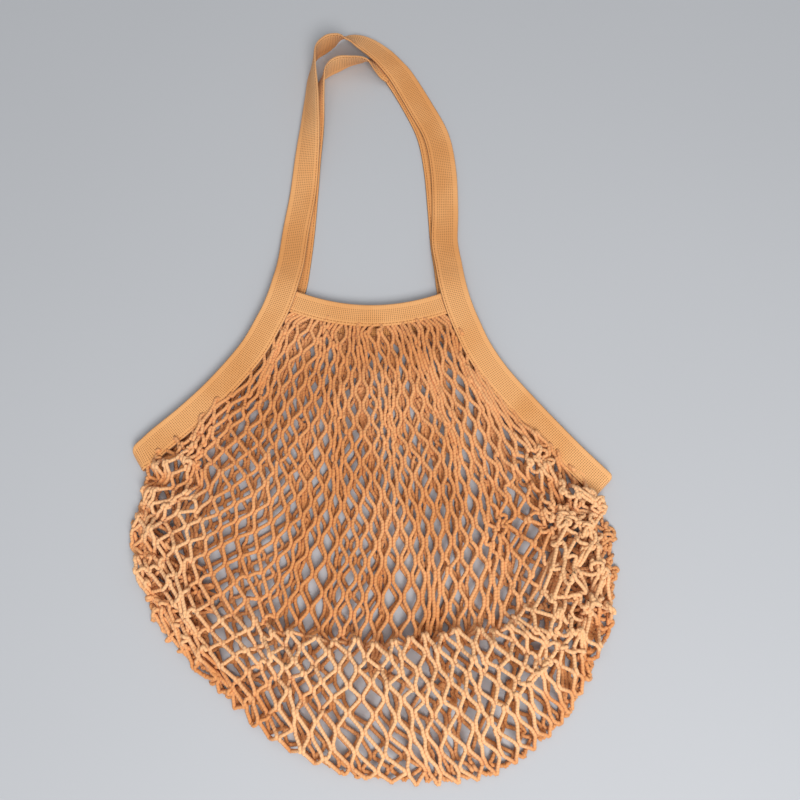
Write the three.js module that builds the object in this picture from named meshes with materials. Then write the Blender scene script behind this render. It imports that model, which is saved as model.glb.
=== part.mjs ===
// Net shopping bag with long handles, lying flat: front net over back net.
// Units are millimetres. X runs to the right, Y towards the handles, Z up from the floor.
import * as THREE from 'three';

// Woven tape of the handles and side openings, and the narrower one across the mouth
const TAPE_WIDTH = 24;
const BAND_WIDTH = 20;
const TAPE_THICKNESS = 1.5;

// Net at twice its pitch: half gaps across and down, and the row at the side corners
const STRAND_WIDTH = 3.2;
const MITRE_LIMIT = 1.4 * STRAND_WIDTH;
const NET_THICKNESS = 2.5;
const WEB_THICKNESS = 1.2;
const NET_COLUMNS = 30;
const NET_ROWS = 20;
const CORNER_ROW = 7;

// Heights of the middle of each layer
const FRONT_LEVEL = 8.6;
const BACK_TAPE_LEVEL = TAPE_THICKNESS / 2;
const BACK_NET_LEVEL = NET_THICKNESS / 2;

// Gaps where tape meets tape, net meets band and net meets tape
const SEW_GAP = 0.8;
const BAND_GAP = 0.7;
const SIDE_GAP = 1.7;

// Front tape turned under at each corner, rise of the back band's ends over the back tape,
// and how much lower the back net hangs at the mouth
const FOLD_TAIL = 8;
const LAP_RISE = TAPE_THICKNESS + 0.3;
const BACK_DROP = 12.6;

// Smoothness of the tapes
const STEPS_PER_ROW = 3;
const TAPE_STRIPS = 2;
const FOLD_STEPS = 4;

const COLOURS = { tape: 0xe0a35c, band: 0xdc9c58, net: 0xd98c4f };

// Front tape from the left corner over the handle to the right corner.
// tilt, in degrees, lifts the outer edge when positive and the inner edge when negative.
const FRONT_TAPE = [
  { x: -194, y: -80, z: 8.6, tilt: 0 },
  { x: -187, y: -75.5, z: 8.6, tilt: 0 },
  { x: -178, y: -66.5, z: 8.6, tilt: 0 },
  { x: -154, y: -45, z: 8.6, tilt: 0 },
  { x: -130, y: -20, z: 8.6, tilt: 0 },
  { x: -105, y: 12, z: 9, tilt: 0 },
  { x: -90, y: 40, z: 10.5, tilt: 0 },
  { x: -83, y: 57, z: 10.8, tilt: 0 },
  { x: -78, y: 75, z: 10.5, tilt: 0 },
  { x: -74, y: 96, z: 7.5, tilt: 0 },
  { x: -71, y: 128, z: 4, tilt: 0 },
  { x: -66, y: 165, z: 3, tilt: 0 },
  { x: -63, y: 202, z: 6, tilt: -14 },
  { x: -61, y: 232, z: 10.4, tilt: -34 },
  { x: -60, y: 265, z: 13.2, tilt: -53 },
  { x: -60, y: 290, z: 14, tilt: -68 },
  { x: -57, y: 311, z: 13.2, tilt: -84 },
  { x: -48, y: 322, z: 12.8, tilt: -92 },
  { x: -37, y: 328, z: 12.8, tilt: -86 },
  { x: -26, y: 330, z: 12, tilt: -56 },
  { x: -16, y: 329, z: 9.6, tilt: -32 },
  { x: -6, y: 323, z: 8, tilt: -22 },
  { x: 6, y: 313, z: 7.2, tilt: -17 },
  { x: 16, y: 302, z: 6.2, tilt: -12 },
  { x: 26, y: 289, z: 4.4, tilt: -6 },
  { x: 43, y: 258, z: 2.9, tilt: 0 },
  { x: 58, y: 226, z: 2.8, tilt: 0 },
  { x: 64, y: 190, z: 2.8, tilt: 0 },
  { x: 65, y: 150, z: 3, tilt: 0 },
  { x: 64, y: 118, z: 4.6, tilt: 0 },
  { x: 67, y: 94, z: 7.6, tilt: 0 },
  { x: 70, y: 74, z: 10.5, tilt: 0 },
  { x: 75, y: 54, z: 10.8, tilt: 0 },
  { x: 82, y: 35, z: 10.5, tilt: 0 },
  { x: 92, y: 13, z: 9, tilt: 0 },
  { x: 108, y: -12, z: 8.6, tilt: 0 },
  { x: 133, y: -42, z: 8.6, tilt: 0 },
  { x: 158, y: -70, z: 8.6, tilt: 0 },
  { x: 174, y: -87, z: 8.6, tilt: 0 },
  { x: 190, y: -103, z: 8.6, tilt: 0 },
];

// Back tape, lying on the floor under the front one and a little inside it on the handles.
const BACK_TAPE = [
  { x: -180.5, y: -71.3, z: 0.75, tilt: 0 },
  { x: -168, y: -58, z: 0.75, tilt: 0 },
  { x: -154, y: -45, z: 0.75, tilt: 0 },
  { x: -130, y: -20, z: 0.75, tilt: 0 },
  { x: -105, y: 12, z: 0.75, tilt: 0 },
  { x: -90, y: 40, z: 0.75, tilt: 0 },
  { x: -79, y: 57, z: 0.75, tilt: 0 },
  { x: -72, y: 74, z: 0.75, tilt: 0 },
  { x: -69, y: 95, z: 0.75, tilt: 0 },
  { x: -66, y: 128, z: 0.75, tilt: 0 },
  { x: -64, y: 165, z: 0.75, tilt: 0 },
  { x: -62, y: 202, z: 2.3, tilt: -5 },
  { x: -59, y: 232, z: 4.9, tilt: -18 },
  { x: -56, y: 262, z: 9.4, tilt: -42 },
  { x: -52, y: 282, z: 11.9, tilt: -62 },
  { x: -46, y: 295, z: 12.8, tilt: -82 },
  { x: -37, y: 304, z: 12.8, tilt: -88 },
  { x: -24, y: 306, z: 12.4, tilt: -72 },
  { x: -11, y: 305, z: 11.4, tilt: -60 },
  { x: 0, y: 301, z: 7.6, tilt: -35 },
  { x: 11, y: 297, z: 4.1, tilt: -14 },
  { x: 22, y: 289, z: 1.7, tilt: -3 },
  { x: 40, y: 256, z: 0.75, tilt: 0 },
  { x: 52, y: 226, z: 0.75, tilt: 0 },
  { x: 58, y: 190, z: 0.75, tilt: 0 },
  { x: 61, y: 150, z: 0.75, tilt: 0 },
  { x: 63, y: 118, z: 0.75, tilt: 0 },
  { x: 66, y: 94, z: 0.75, tilt: 0 },
  { x: 68, y: 74, z: 0.75, tilt: 0 },
  { x: 71, y: 54, z: 0.75, tilt: 0 },
  { x: 77, y: 35, z: 0.75, tilt: 0 },
  { x: 88, y: 11, z: 0.75, tilt: 0 },
  { x: 104, y: -14, z: 0.75, tilt: 0 },
  { x: 130, y: -45, z: 0.75, tilt: 0 },
  { x: 155, y: -69, z: 0.75, tilt: 0 },
  { x: 170, y: -84, z: 0.75, tilt: 0 },
];

// Mouth bands: both ends lie between a tape and the net; sag is the drop at mid-length.
const FRONT_BAND = { leftX: -82, leftY: 63, rightX: 73, rightY: 60.5, sag: 17 };
const BACK_BAND = { leftX: -80, leftY: 53, rightX: 70, rightY: 49, sag: 19 };
const BAND_STEPS = 20;
const BAND_END = 14;

// First and last loop of each net along its mouth band
const FRONT_LOOPS = { leftX: -66, rightX: 58 };
const BACK_LOOPS = { leftX: -62, rightX: 54 };

// Table row of each tape where its edge passes the mouth band, on the left and on the right
const FRONT_MOUTH = { left: 6.6, right: 32.4 };
const BACK_MOUTH = { left: 6.6, right: 30.6 };

// Net rows from the mouth down: side ends below the corners, depth at mid-width, how square
// the row's curve is, and the height of its middle and of the heaps near its left and right ends.
const NET_SECTIONS = [
  { row: 0, midY: 29.1, square: 2, mid: 8.6, leftHeap: 8.6, rightHeap: 8.6 },
  { row: 4, midY: -50, square: 2, mid: 8.6, leftHeap: 9, rightHeap: 9.5 },
  { row: 7, midY: -110, square: 2, mid: 8.6, leftHeap: 12, rightHeap: 14 },
  { row: 10, midY: -171, square: 2.2, mid: 8.6, leftHeap: 15, rightHeap: 19 },
  { row: 12.5, midY: -221, square: 2.4, mid: 9.5, leftHeap: 16, rightHeap: 21 },
  { row: 14.5, midY: -250, square: 2.5, mid: 20, leftHeap: 18, rightHeap: 22 },
  { row: 17, midY: -290, square: 2.5, mid: 17, leftHeap: 16, rightHeap: 19 },
  { row: 20, midY: -333, square: 2.5, mid: 4.1, leftHeap: 4.1, rightHeap: 4.1 },
];
const FRONT_SIDES = [
  { row: 7, leftX: -192, leftY: -98, rightX: 183, rightY: -119, edge: 6 },
  { row: 10, leftX: -190, leftY: -130, rightX: 190, rightY: -146, edge: 4.1 },
  { row: 13, leftX: -187, leftY: -166, rightX: 195, rightY: -180, edge: 4.1 },
  { row: 16, leftX: -176, leftY: -200, rightX: 191, rightY: -218, edge: 4.1 },
  { row: 18, leftX: -164, leftY: -217, rightX: 183, rightY: -241, edge: 4.1 },
  { row: 20, leftX: -150, leftY: -233, rightX: 171, rightY: -264, edge: 4.1 },
];
const BACK_SIDES = [
  { row: 7, leftX: -190, leftY: -99, rightX: 181, rightY: -121 },
  { row: 10, leftX: -196, leftY: -134, rightX: 188, rightY: -148 },
  { row: 13, leftX: -192, leftY: -168, rightX: 193, rightY: -182 },
  { row: 16, leftX: -178, leftY: -202, rightX: 189, rightY: -220 },
  { row: 20, leftX: -150, leftY: -233, rightX: 170, rightY: -264 },
];
const HEAP_COLUMN = 3;
const HEAP_SPREAD = 2.4;

// Fold that runs down the lower right of the front net
const CREASE = { column: 27, row: 12, toColumn: 22, toRow: 18, rise: 3.5, spread: 1.4 };

// Where the strands stand far enough apart for gaps that go through
const FRONT_CUT = { row: 4, lastColumn: 24, fullRow: 16 };
const BACK_CUT = { row: 9, firstColumn: 7, lastColumn: 23 };

const UP = new THREE.Vector3(0, 0, 1);

// One column of a table at a fractional row, along a curve that never overshoots.
function between(rows, key, at) {
  const last = rows.length - 2;
  const rise = (n) => {
    const m = THREE.MathUtils.clamp(n, 0, last);
    return rows[m + 1][key] - rows[m][key];
  };
  const slope = (before, after) => (before * after <= 0 ? 0 : (2 * before * after) / (before + after));
  const i = THREE.MathUtils.clamp(Math.floor(at), 0, last);
  const f = at - i;
  const step = rise(i);
  const start = slope(rise(i - 1), step);
  const end = slope(step, rise(i + 1));
  return rows[i][key] + f * (start + f * (3 * step - 2 * start - end + f * (start + end - 2 * step)));
}

// The same, looked up by the value of the table's row column.
function atRow(rows, key, row) {
  let i = 0;
  while (i < rows.length - 2 && rows[i + 1].row <= row) {
    i += 1;
  }
  return between(rows, key, i + (row - rows[i].row) / (rows[i + 1].row - rows[i].row));
}

// A tape's cross section: middle point, run, width direction and level direction to its outside.
function tapeSection(path, rows, at) {
  const t = at / (rows.length - 1);
  const along = path.getTangent(t);
  const heading = new THREE.Vector3(along.x, along.y, 0).normalize();
  const outward = UP.clone().cross(heading);
  const tilt = THREE.MathUtils.degToRad(between(rows, 'tilt', at));
  const across = outward.clone().multiplyScalar(Math.cos(tilt)).addScaledVector(UP, Math.sin(tilt));
  across.addScaledVector(along, -across.dot(along)).normalize();
  const centre = path.getPoint(t).setZ(between(rows, 'z', at));
  return { centre, along, across, heading, outward };
}

function tapePath(rows) {
  return new THREE.CatmullRomCurve3(rows.map((row) => new THREE.Vector3(row.x, row.y, row.z)));
}

function tapeSections(rows) {
  const path = tapePath(rows);
  const count = (rows.length - 1) * STEPS_PER_ROW;
  return Array.from({ length: count + 1 }, (_, n) => tapeSection(path, rows, n / STEPS_PER_ROW));
}

// Half a turn under the bag beyond a tape's end, and a short length below; way is -1 at its start.
function foldUnder(section, way) {
  const radius = (section.centre.z - BACK_TAPE_LEVEL) / 2;
  const sections = [];
  for (let n = 1; n <= FOLD_STEPS; n += 1) {
    const angle = (Math.PI * n) / FOLD_STEPS;
    const centre = section.centre.clone()
      .addScaledVector(section.heading, way * radius * Math.sin(angle))
      .addScaledVector(UP, -radius * (1 - Math.cos(angle)));
    const along = section.heading.clone().multiplyScalar(Math.cos(angle))
      .addScaledVector(UP, -way * Math.sin(angle));
    sections.push({ ...section, centre, along, across: section.outward });
  }
  const tail = sections[FOLD_STEPS - 1];
  const centre = tail.centre.clone().addScaledVector(section.heading, -way * FOLD_TAIL);
  sections.push({ ...tail, centre });
  return sections;
}

// A band's cross sections along its sagging line; lift raises both ends over what they lap.
function bandSections(band, level, lift) {
  return Array.from({ length: BAND_STEPS + 1 }, (_, n) => {
    const s = n / BAND_STEPS;
    const run = new THREE.Vector3(
      band.rightX - band.leftX,
      band.rightY - band.leftY - 4 * band.sag * (1 - 2 * s),
      0,
    );
    const x = THREE.MathUtils.lerp(band.leftX, band.rightX, s);
    const toEnd = Math.min(x - band.leftX, band.rightX - x);
    const z = level + lift * (1 - THREE.MathUtils.smoothstep(toEnd, BAND_END, 2 * BAND_END));
    const along = run.normalize();
    return { centre: new THREE.Vector3(x, bandY(band, x), z), along, across: UP.clone().cross(along) };
  });
}

function bandY(band, x) {
  const s = (x - band.leftX) / (band.rightX - band.leftX);
  return THREE.MathUtils.lerp(band.leftY, band.rightY, s) - 4 * band.sag * s * (1 - s);
}

// Closed solid of a flat tape: a rectangular outline carried through its cross sections.
function tapeGeometry(sections, width) {
  const corners = [];
  for (let n = 0; n <= TAPE_STRIPS; n += 1) {
    corners.push({ side: n / TAPE_STRIPS - 0.5, face: 0.5 });
  }
  for (let n = TAPE_STRIPS; n >= 0; n -= 1) {
    corners.push({ side: n / TAPE_STRIPS - 0.5, face: -0.5 });
  }
  const points = [];
  for (const { centre, along, across } of sections) {
    const normal = along.clone().cross(across);
    for (const { side, face } of corners) {
      const point = centre.clone().addScaledVector(across, side * width);
      points.push(point.addScaledVector(normal, face * TAPE_THICKNESS));
    }
  }
  const ring = corners.length;
  const faces = [];
  for (let s = 0; s + 1 < sections.length; s += 1) {
    for (let c = 0; c < ring; c += 1) {
      const a = s * ring + c;
      const b = s * ring + ((c + 1) % ring);
      faces.push([a, a + ring, b + ring, b]);
    }
  }
  const end = (sections.length - 1) * ring;
  for (let c = 0; c < TAPE_STRIPS; c += 1) {
    const under = ring - 1 - c;
    faces.push([c, c + 1, under - 1, under]);
    faces.push([end + c, end + under, end + under - 1, end + c + 1]);
  }
  return solid(points, faces);
}

// Indexed geometry from corner points and flat polygons, each listed anticlockwise from outside.
function solid(points, faces) {
  const index = [];
  for (const face of faces) {
    for (let n = 1; n + 1 < face.length; n += 1) {
      index.push(face[0], face[n], face[n + 1]);
    }
  }
  const geometry = new THREE.BufferGeometry().setFromPoints(points);
  geometry.setIndex(index);
  geometry.computeVertexNormals();
  return geometry;
}

// First and last column of the net in one row: its sides step in above the side corners.
function rowSpan(row) {
  const inset = Math.max(CORNER_ROW - row, 0);
  return { first: inset, last: NET_COLUMNS - inset };
}

// Both ends of one net row: on the mouth band, along the tapes' inner edges, or at the bag's sides.
function rowEnds(panel, row) {
  if (row === 0) {
    const drop = BAND_WIDTH / 2 + BAND_GAP + MITRE_LIMIT;
    return [panel.loops.leftX, panel.loops.rightX].map(
      (x) => new THREE.Vector2(x, bandY(panel.band, x) - drop),
    );
  }
  if (row >= CORNER_ROW) {
    return [
      new THREE.Vector2(atRow(panel.sides, 'leftX', row), atRow(panel.sides, 'leftY', row)),
      new THREE.Vector2(atRow(panel.sides, 'rightX', row), atRow(panel.sides, 'rightY', row)),
    ];
  }
  const path = tapePath(panel.tape);
  const share = row / CORNER_ROW;
  const ends = [
    THREE.MathUtils.lerp(panel.mouth.left, 0, share),
    THREE.MathUtils.lerp(panel.mouth.right, panel.tape.length - 1, share),
  ];
  return ends.map((at) => {
    const { centre, outward } = tapeSection(path, panel.tape, at);
    const inset = TAPE_WIDTH / 2 + SIDE_GAP + STRAND_WIDTH / 2;
    return new THREE.Vector2(centre.x - inset * outward.x, centre.y - inset * outward.y);
  });
}

// Middle of the net at one crossing of its strands.
function crossing(panel, column, row) {
  const { first, last } = rowSpan(row);
  const share = (column - first) / (last - first);
  const [left, right] = rowEnds(panel, row);
  const chord = left.clone().lerp(right, share);
  const square = atRow(NET_SECTIONS, 'square', row);
  const dip = atRow(NET_SECTIONS, 'midY', row) + panel.midShift(row) - (left.y + right.y) / 2;
  const y = chord.y + dip * (1 - Math.abs(2 * share - 1) ** square);
  return new THREE.Vector3(chord.x, y, panel.height(column, row));
}

// Height of the front net: level in the middle, heaped near its sides, low along its seams.
function frontHeight(column, row) {
  const { first, last } = rowSpan(row);
  const fromLeft = column - first;
  const fromRight = last - column;
  const middle = atRow(NET_SECTIONS, 'mid', row);
  const edge = row < CORNER_ROW ? FRONT_LEVEL : atRow(FRONT_SIDES, 'edge', row);
  const heap = (key, away) => {
    const rise = atRow(NET_SECTIONS, key, row) - middle;
    return rise * Math.exp(-(((away - HEAP_COLUMN) / HEAP_SPREAD) ** 2));
  };
  const full = middle + heap('leftHeap', fromLeft) + heap('rightHeap', fromRight) + creaseRise(column, row);
  return THREE.MathUtils.lerp(edge, full, THREE.MathUtils.smoothstep(Math.min(fromLeft, fromRight), 0, 2));
}

// Height that the crease adds, highest along its line and fading out past its ends.
function creaseRise(column, row) {
  const start = new THREE.Vector2(CREASE.column, CREASE.row);
  const run = new THREE.Vector2(CREASE.toColumn, CREASE.toRow).sub(start);
  const place = new THREE.Vector2(column, row).sub(start);
  const share = THREE.MathUtils.clamp(place.dot(run) / run.lengthSq(), 0, 1);
  const away = place.addScaledVector(run, -share).length();
  return CREASE.rise * Math.exp(-((away / CREASE.spread) ** 2));
}

// The four ways that strands leave a crossing, anticlockwise, and the gap on the left of each.
const WAYS = [
  { column: 1, row: -1, gapColumn: 0, gapRow: -1 },
  { column: -1, row: -1, gapColumn: -1, gapRow: 0 },
  { column: -1, row: 1, gapColumn: 0, gapRow: 1 },
  { column: 1, row: 1, gapColumn: 1, gapRow: 0 },
];

// Closed solid of a net panel: a pad at each crossing, a flat strand to each neighbour, and gaps that
// are cut through or, where the strands crowd together, closed by a thinner web.
function netGeometry(panel) {
  const nodes = new Map();
  const nodeAt = (column, row) => nodes.get(`${column},${row}`);
  for (let row = 0; row <= NET_ROWS; row += 1) {
    const { first, last } = rowSpan(row);
    for (let column = first; column <= last; column += 1) {
      if ((column + row) % 2 === 1) {
        nodes.set(`${column},${row}`, { column, row, middle: crossing(panel, column, row) });
      }
    }
  }
  const closed = (column, row) => (
    WAYS.every((way) => nodeAt(column + way.gapColumn, row + way.gapRow)) && !panel.cut(column, row)
  );
  const points = [];
  const addPair = (middle, normal, thickness) => {
    points.push(middle.clone().addScaledVector(normal, thickness / 2));
    points.push(middle.clone().addScaledVector(normal, -thickness / 2));
    return points.length - 2;
  };
  for (const node of nodes.values()) {
    const near = WAYS.map((way) => nodeAt(node.column + way.column, node.row + way.row));
    node.normal = panel.flat || near.includes(undefined) ? UP : sheetNormal(near);
    node.strands = WAYS.map((way, n) => ({ ...way, other: near[n] })).filter((strand) => strand.other);
  }
  for (const node of nodes.values()) {
    const runs = node.strands.map(({ other }) => {
      const run = other.middle.clone().sub(node.middle);
      return run.addScaledVector(node.normal, -run.dot(node.normal)).normalize();
    });
    runs.forEach((run, n) => {
      const next = runs[(n + 1) % runs.length];
      const swing = Math.atan2(run.clone().cross(next).dot(node.normal), run.dot(next));
      const half = (swing <= 0 ? swing + 2 * Math.PI : swing) / 2;
      const reach = Math.min(STRAND_WIDTH / 2 / Math.sin(half), MITRE_LIMIT);
      const aside = run.clone().applyAxisAngle(node.normal, half);
      const corner = node.middle.clone().addScaledVector(aside, reach);
      node.strands[n].left = addPair(corner, node.normal, NET_THICKNESS);
    });
    node.strands.forEach((strand, n) => {
      strand.right = node.strands[(n + runs.length - 1) % runs.length].left;
    });
  }
  const faces = [];
  const bothSides = (corners) => {
    faces.push(corners);
    faces.push(corners.map((corner) => corner + 1).reverse());
  };
  const webs = new Map();
  for (const node of nodes.values()) {
    if (node.strands.length > 2) {
      bothSides(node.strands.map((strand) => strand.left));
    }
    for (const strand of node.strands) {
      const { other } = strand;
      const back = other.strands.find((candidate) => candidate.other === node);
      if (node.row < other.row) {
        bothSides([strand.right, back.left, back.right, strand.left]);
      }
      const column = node.column + strand.gapColumn;
      const row = node.row + strand.gapRow;
      if (closed(column, row)) {
        const key = `${column},${row}`;
        const web = webs.get(key) ?? addPair(gapMiddle(nodeAt, column, row), UP, WEB_THICKNESS);
        webs.set(key, web);
        bothSides([strand.left, back.right, web]);
      } else {
        faces.push([strand.left, back.right, back.right + 1, strand.left + 1]);
      }
    }
  }
  return solid(points, faces);
}

// Upward normal of the net at a crossing, from its four neighbours.
function sheetNormal([upRight, upLeft, downLeft, downRight]) {
  const rising = upRight.middle.clone().sub(downLeft.middle);
  const falling = upLeft.middle.clone().sub(downRight.middle);
  return rising.cross(falling).normalize();
}

// Middle of a gap, from the crossings around it.
function gapMiddle(nodeAt, column, row) {
  const middle = new THREE.Vector3();
  for (const way of WAYS) {
    middle.addScaledVector(nodeAt(column + way.gapColumn, row + way.gapRow).middle, 1 / WAYS.length);
  }
  return middle;
}

function piece(name, geometry, colour) {
  const material = new THREE.MeshStandardMaterial({ color: colour, roughness: 0.95, metalness: 0 });
  const mesh = new THREE.Mesh(geometry, material);
  mesh.name = name;
  return mesh;
}

const frontRun = tapeSections(FRONT_TAPE);
const frontStart = foldUnder(frontRun[0], -1).reverse();
const frontEnd = foldUnder(frontRun[frontRun.length - 1], 1);
const meet = (section, way) => ({
  x: section.centre.x + way * SEW_GAP * section.heading.x,
  y: section.centre.y + way * SEW_GAP * section.heading.y,
  z: BACK_TAPE_LEVEL,
  tilt: 0,
});
const backTape = [meet(frontStart[0], 1), ...BACK_TAPE, meet(frontEnd[frontEnd.length - 1], -1)];

const frontPanel = {
  tape: FRONT_TAPE,
  band: FRONT_BAND,
  loops: FRONT_LOOPS,
  mouth: FRONT_MOUTH,
  sides: FRONT_SIDES,
  midShift: () => 0,
  height: frontHeight,
  cut: (column, row) => (
    row >= FRONT_CUT.row && (column <= FRONT_CUT.lastColumn || row >= FRONT_CUT.fullRow)
  ),
  flat: false,
};
const backPanel = {
  tape: backTape,
  band: BACK_BAND,
  loops: BACK_LOOPS,
  mouth: BACK_MOUTH,
  sides: BACK_SIDES,
  midShift: (row) => -BACK_DROP * Math.max(1 - row / CORNER_ROW, 0),
  height: () => BACK_NET_LEVEL,
  cut: (column, row) => (
    row >= BACK_CUT.row && column >= BACK_CUT.firstColumn && column <= BACK_CUT.lastColumn
  ),
  flat: true,
};

const frontBand = bandSections(FRONT_BAND, FRONT_LEVEL, 0);
const backBand = bandSections(BACK_BAND, BACK_TAPE_LEVEL, LAP_RISE);
const frontTape = [...frontStart, ...frontRun, ...frontEnd];

const bag = new THREE.Group();
bag.add(piece('net_back', netGeometry(backPanel), COLOURS.net));
bag.add(piece('net_front', netGeometry(frontPanel), COLOURS.net));
bag.add(piece('mouth_band_back', tapeGeometry(backBand, BAND_WIDTH), COLOURS.band));
bag.add(piece('mouth_band_front', tapeGeometry(frontBand, BAND_WIDTH), COLOURS.band));
bag.add(piece('handle_tape_back', tapeGeometry(tapeSections(backTape), TAPE_WIDTH), COLOURS.tape));
bag.add(piece('handle_tape_front', tapeGeometry(frontTape, TAPE_WIDTH), COLOURS.tape));

export default bag;
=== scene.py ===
"""Net shopping bag lying flat: yarn nets, woven tapes and their sewing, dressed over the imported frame."""

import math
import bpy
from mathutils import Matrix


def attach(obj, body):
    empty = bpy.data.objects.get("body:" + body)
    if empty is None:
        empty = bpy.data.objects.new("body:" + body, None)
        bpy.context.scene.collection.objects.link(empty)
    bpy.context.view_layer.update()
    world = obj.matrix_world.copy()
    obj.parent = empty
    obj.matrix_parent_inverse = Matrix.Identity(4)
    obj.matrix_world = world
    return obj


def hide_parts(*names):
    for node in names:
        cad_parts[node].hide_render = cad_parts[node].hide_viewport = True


bl_info = {
    "name": "Net Shopping Bag",
    "version": (1, 0, 0),
    "blender": (4, 5, 0),
    "location": "3D View > Sidebar > Net Bag",
    "description": "Builds a cotton net shopping bag with woven tape handles, lying flat",
    "category": "Object",
}

import bpy
import numpy as np
from bpy.props import FloatProperty, FloatVectorProperty, PointerProperty

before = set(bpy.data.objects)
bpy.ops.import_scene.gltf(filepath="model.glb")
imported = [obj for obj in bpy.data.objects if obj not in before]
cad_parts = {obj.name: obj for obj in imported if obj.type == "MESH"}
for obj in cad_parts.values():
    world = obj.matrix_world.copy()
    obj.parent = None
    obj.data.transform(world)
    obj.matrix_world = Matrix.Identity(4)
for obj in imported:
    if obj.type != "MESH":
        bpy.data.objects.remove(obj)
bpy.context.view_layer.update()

MM = 0.001
UP = np.array([0.0, 0.0, 1.0])

# Nets: columns and rows of the grid that holds the joints, and the rows of the side corners and of the
# ridge's lip
NET_COLUMNS = 66
NET_ROWS = 31
CORNER_ROW = 14
RIDGE_ROW = 22

# Yarn: bends in a strand, how far two wales run side by side from a joint's middle, how many yarns each
# stands to its side there, the end past the last joint, the lowest line in yarns, and the tube's sides and
# rings
STRAND_BENDS = 3
JOINT_REACH = 1.7
JOINT_SIDE = 0.46
YARN_END = 0.6
YARN_LOWEST = 0.58
YARN_SIDES = 5
RINGS_PER_BEND = 2

# Sewn edges of the nets: how far they reach under a tape or band, how far under its middle the yarn lies,
# how much later than evenly the rows come down from the mouth, and the share of a row that a tape draws to
# itself
SEWN_UNDER = 4.0
SEWN_DROP = 1.0
ROW_LAG = 0.08
TAPE_DRAW = 0.42

# Tapes: level of the one on the floor, tail turned under, rounding of the left and right corner, gap at the
# joins, rise and length of a band's lapped end, sections of a band, and sections to each row of a table
FLOOR_TAPE_LEVEL = 0.75
FOLD_TAIL = 8.0
CORNER_CUTS = (13.0, 7.0)
SEW_GAP = 0.8
LAP_RISE = 1.8
BAND_END = 14.0
BAND_SECTIONS = 400
PATH_STEPS = 40

# Relief of the woven tape: depth of pinholes, ribs and the sewn groove, width of the rounded edge and how
# thin it gets, the seam's distance from the edge and half its width in weave steps, and the depth between
# the lips
PINHOLE_DEPTH = 0.42
RIB_DEPTH = 0.07
SEAM_DEPTH = 0.22
EDGE_ROUND = 1.1
EDGE_THIN = 0.75
SEAM_FROM_EDGE = 2.0
SEAM_HALF = 0.55
LIP_DEPTH = 2.2

# Stitch: its four corners' place along the pitch and their height over the tape
STITCH_REACH = (-0.42, -0.2, 0.2, 0.42)
STITCH_RISE = (-0.35, 0.06, 0.06, -0.35)

# Handle tapes from the left corner over the handle to the right corner: x, y, height, tilt. A negative tilt
# lifts the inner edge. Millimetres and degrees.
FRONT_TAPE = np.array([
    (-194, -80, 8.6, 0), (-187, -75.5, 8.6, 0), (-178, -66.5, 8.6, 0), (-154, -45, 8.6, 0),
    (-130, -20, 8.6, 0), (-105, 12, 9, 0), (-90, 40, 10.5, 0), (-83, 57, 10.8, 0),
    (-78, 75, 10.5, 0), (-74, 96, 7.5, 0), (-71, 128, 4, 0), (-66, 165, 3, 0),
    (-63, 202, 6, -14), (-61, 232, 10.4, -34), (-60, 265, 13.2, -53), (-60, 290, 14, -68),
    (-57, 310, 13.2, -84), (-48, 320, 12.8, -91), (-38.5, 325.5, 12.8, -78), (-30, 328, 12, -50),
    (-19, 328, 10, -31), (-7, 323, 8.2, -21), (6, 313, 7.2, -16), (16, 302, 6.2, -12),
    (26, 289, 4.4, -6), (43, 258, 2.9, 0), (58, 226, 2.8, 0), (64, 190, 2.8, 0),
    (65, 150, 3, 0), (64, 118, 4.6, 0), (67, 94, 7.6, 0), (70, 74, 10.5, 0),
    (75, 54, 10.8, 0), (82, 35, 10.5, 0), (92, 13, 9, 0), (108, -12, 8.6, 0),
    (133, -42, 8.6, 0), (158, -70, 8.6, 0), (174, -87, 8.6, 0), (190, -103, 8.6, 0),
])
BACK_TAPE = np.array([
    (-180.5, -71.3, 0.75, 0), (-168, -58, 0.75, 0), (-154, -45, 0.75, 0), (-130, -20, 0.75, 0),
    (-105, 12, 0.75, 0), (-90, 40, 0.75, 0), (-79, 57, 0.75, 0), (-72, 74, 0.75, 0),
    (-69, 95, 0.75, 0), (-66, 128, 0.75, 0), (-64, 165, 0.75, 0), (-62, 202, 2.3, -5),
    (-59, 232, 4.9, -18), (-56, 261, 9.4, -42), (-52, 279.5, 11.9, -62), (-46, 290.5, 12.8, -82),
    (-37, 297.5, 12.8, -88), (-24, 302, 12.4, -74), (-11, 304, 11.4, -62), (0, 302, 7.6, -35),
    (11, 297, 4.1, -14), (22, 289, 1.7, -3), (40, 256, 0.75, 0), (52, 226, 0.75, 0),
    (58, 190, 0.75, 0), (61, 150, 0.75, 0), (63, 118, 0.75, 0), (66, 94, 0.75, 0),
    (68, 74, 0.75, 0), (71, 54, 0.75, 0), (77, 35, 0.75, 0), (88, 11, 0.75, 0),
    (104, -14, 0.75, 0), (130, -45, 0.75, 0), (155, -69, 0.75, 0), (170, -84, 0.75, 0),
])

# Mouth bands: both ends, the drop at mid-length and the height of the middle
FRONT_BAND = {"left": (-82.0, 63.0), "right": (73.0, 60.5), "sag": 17.0, "level": 8.6, "lift": 0.0}
BACK_BAND = {"left": (-80.0, 53.0), "right": (70.0, 49.0), "sag": 19.0, "level": 0.75, "lift": LAP_RISE}

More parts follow.
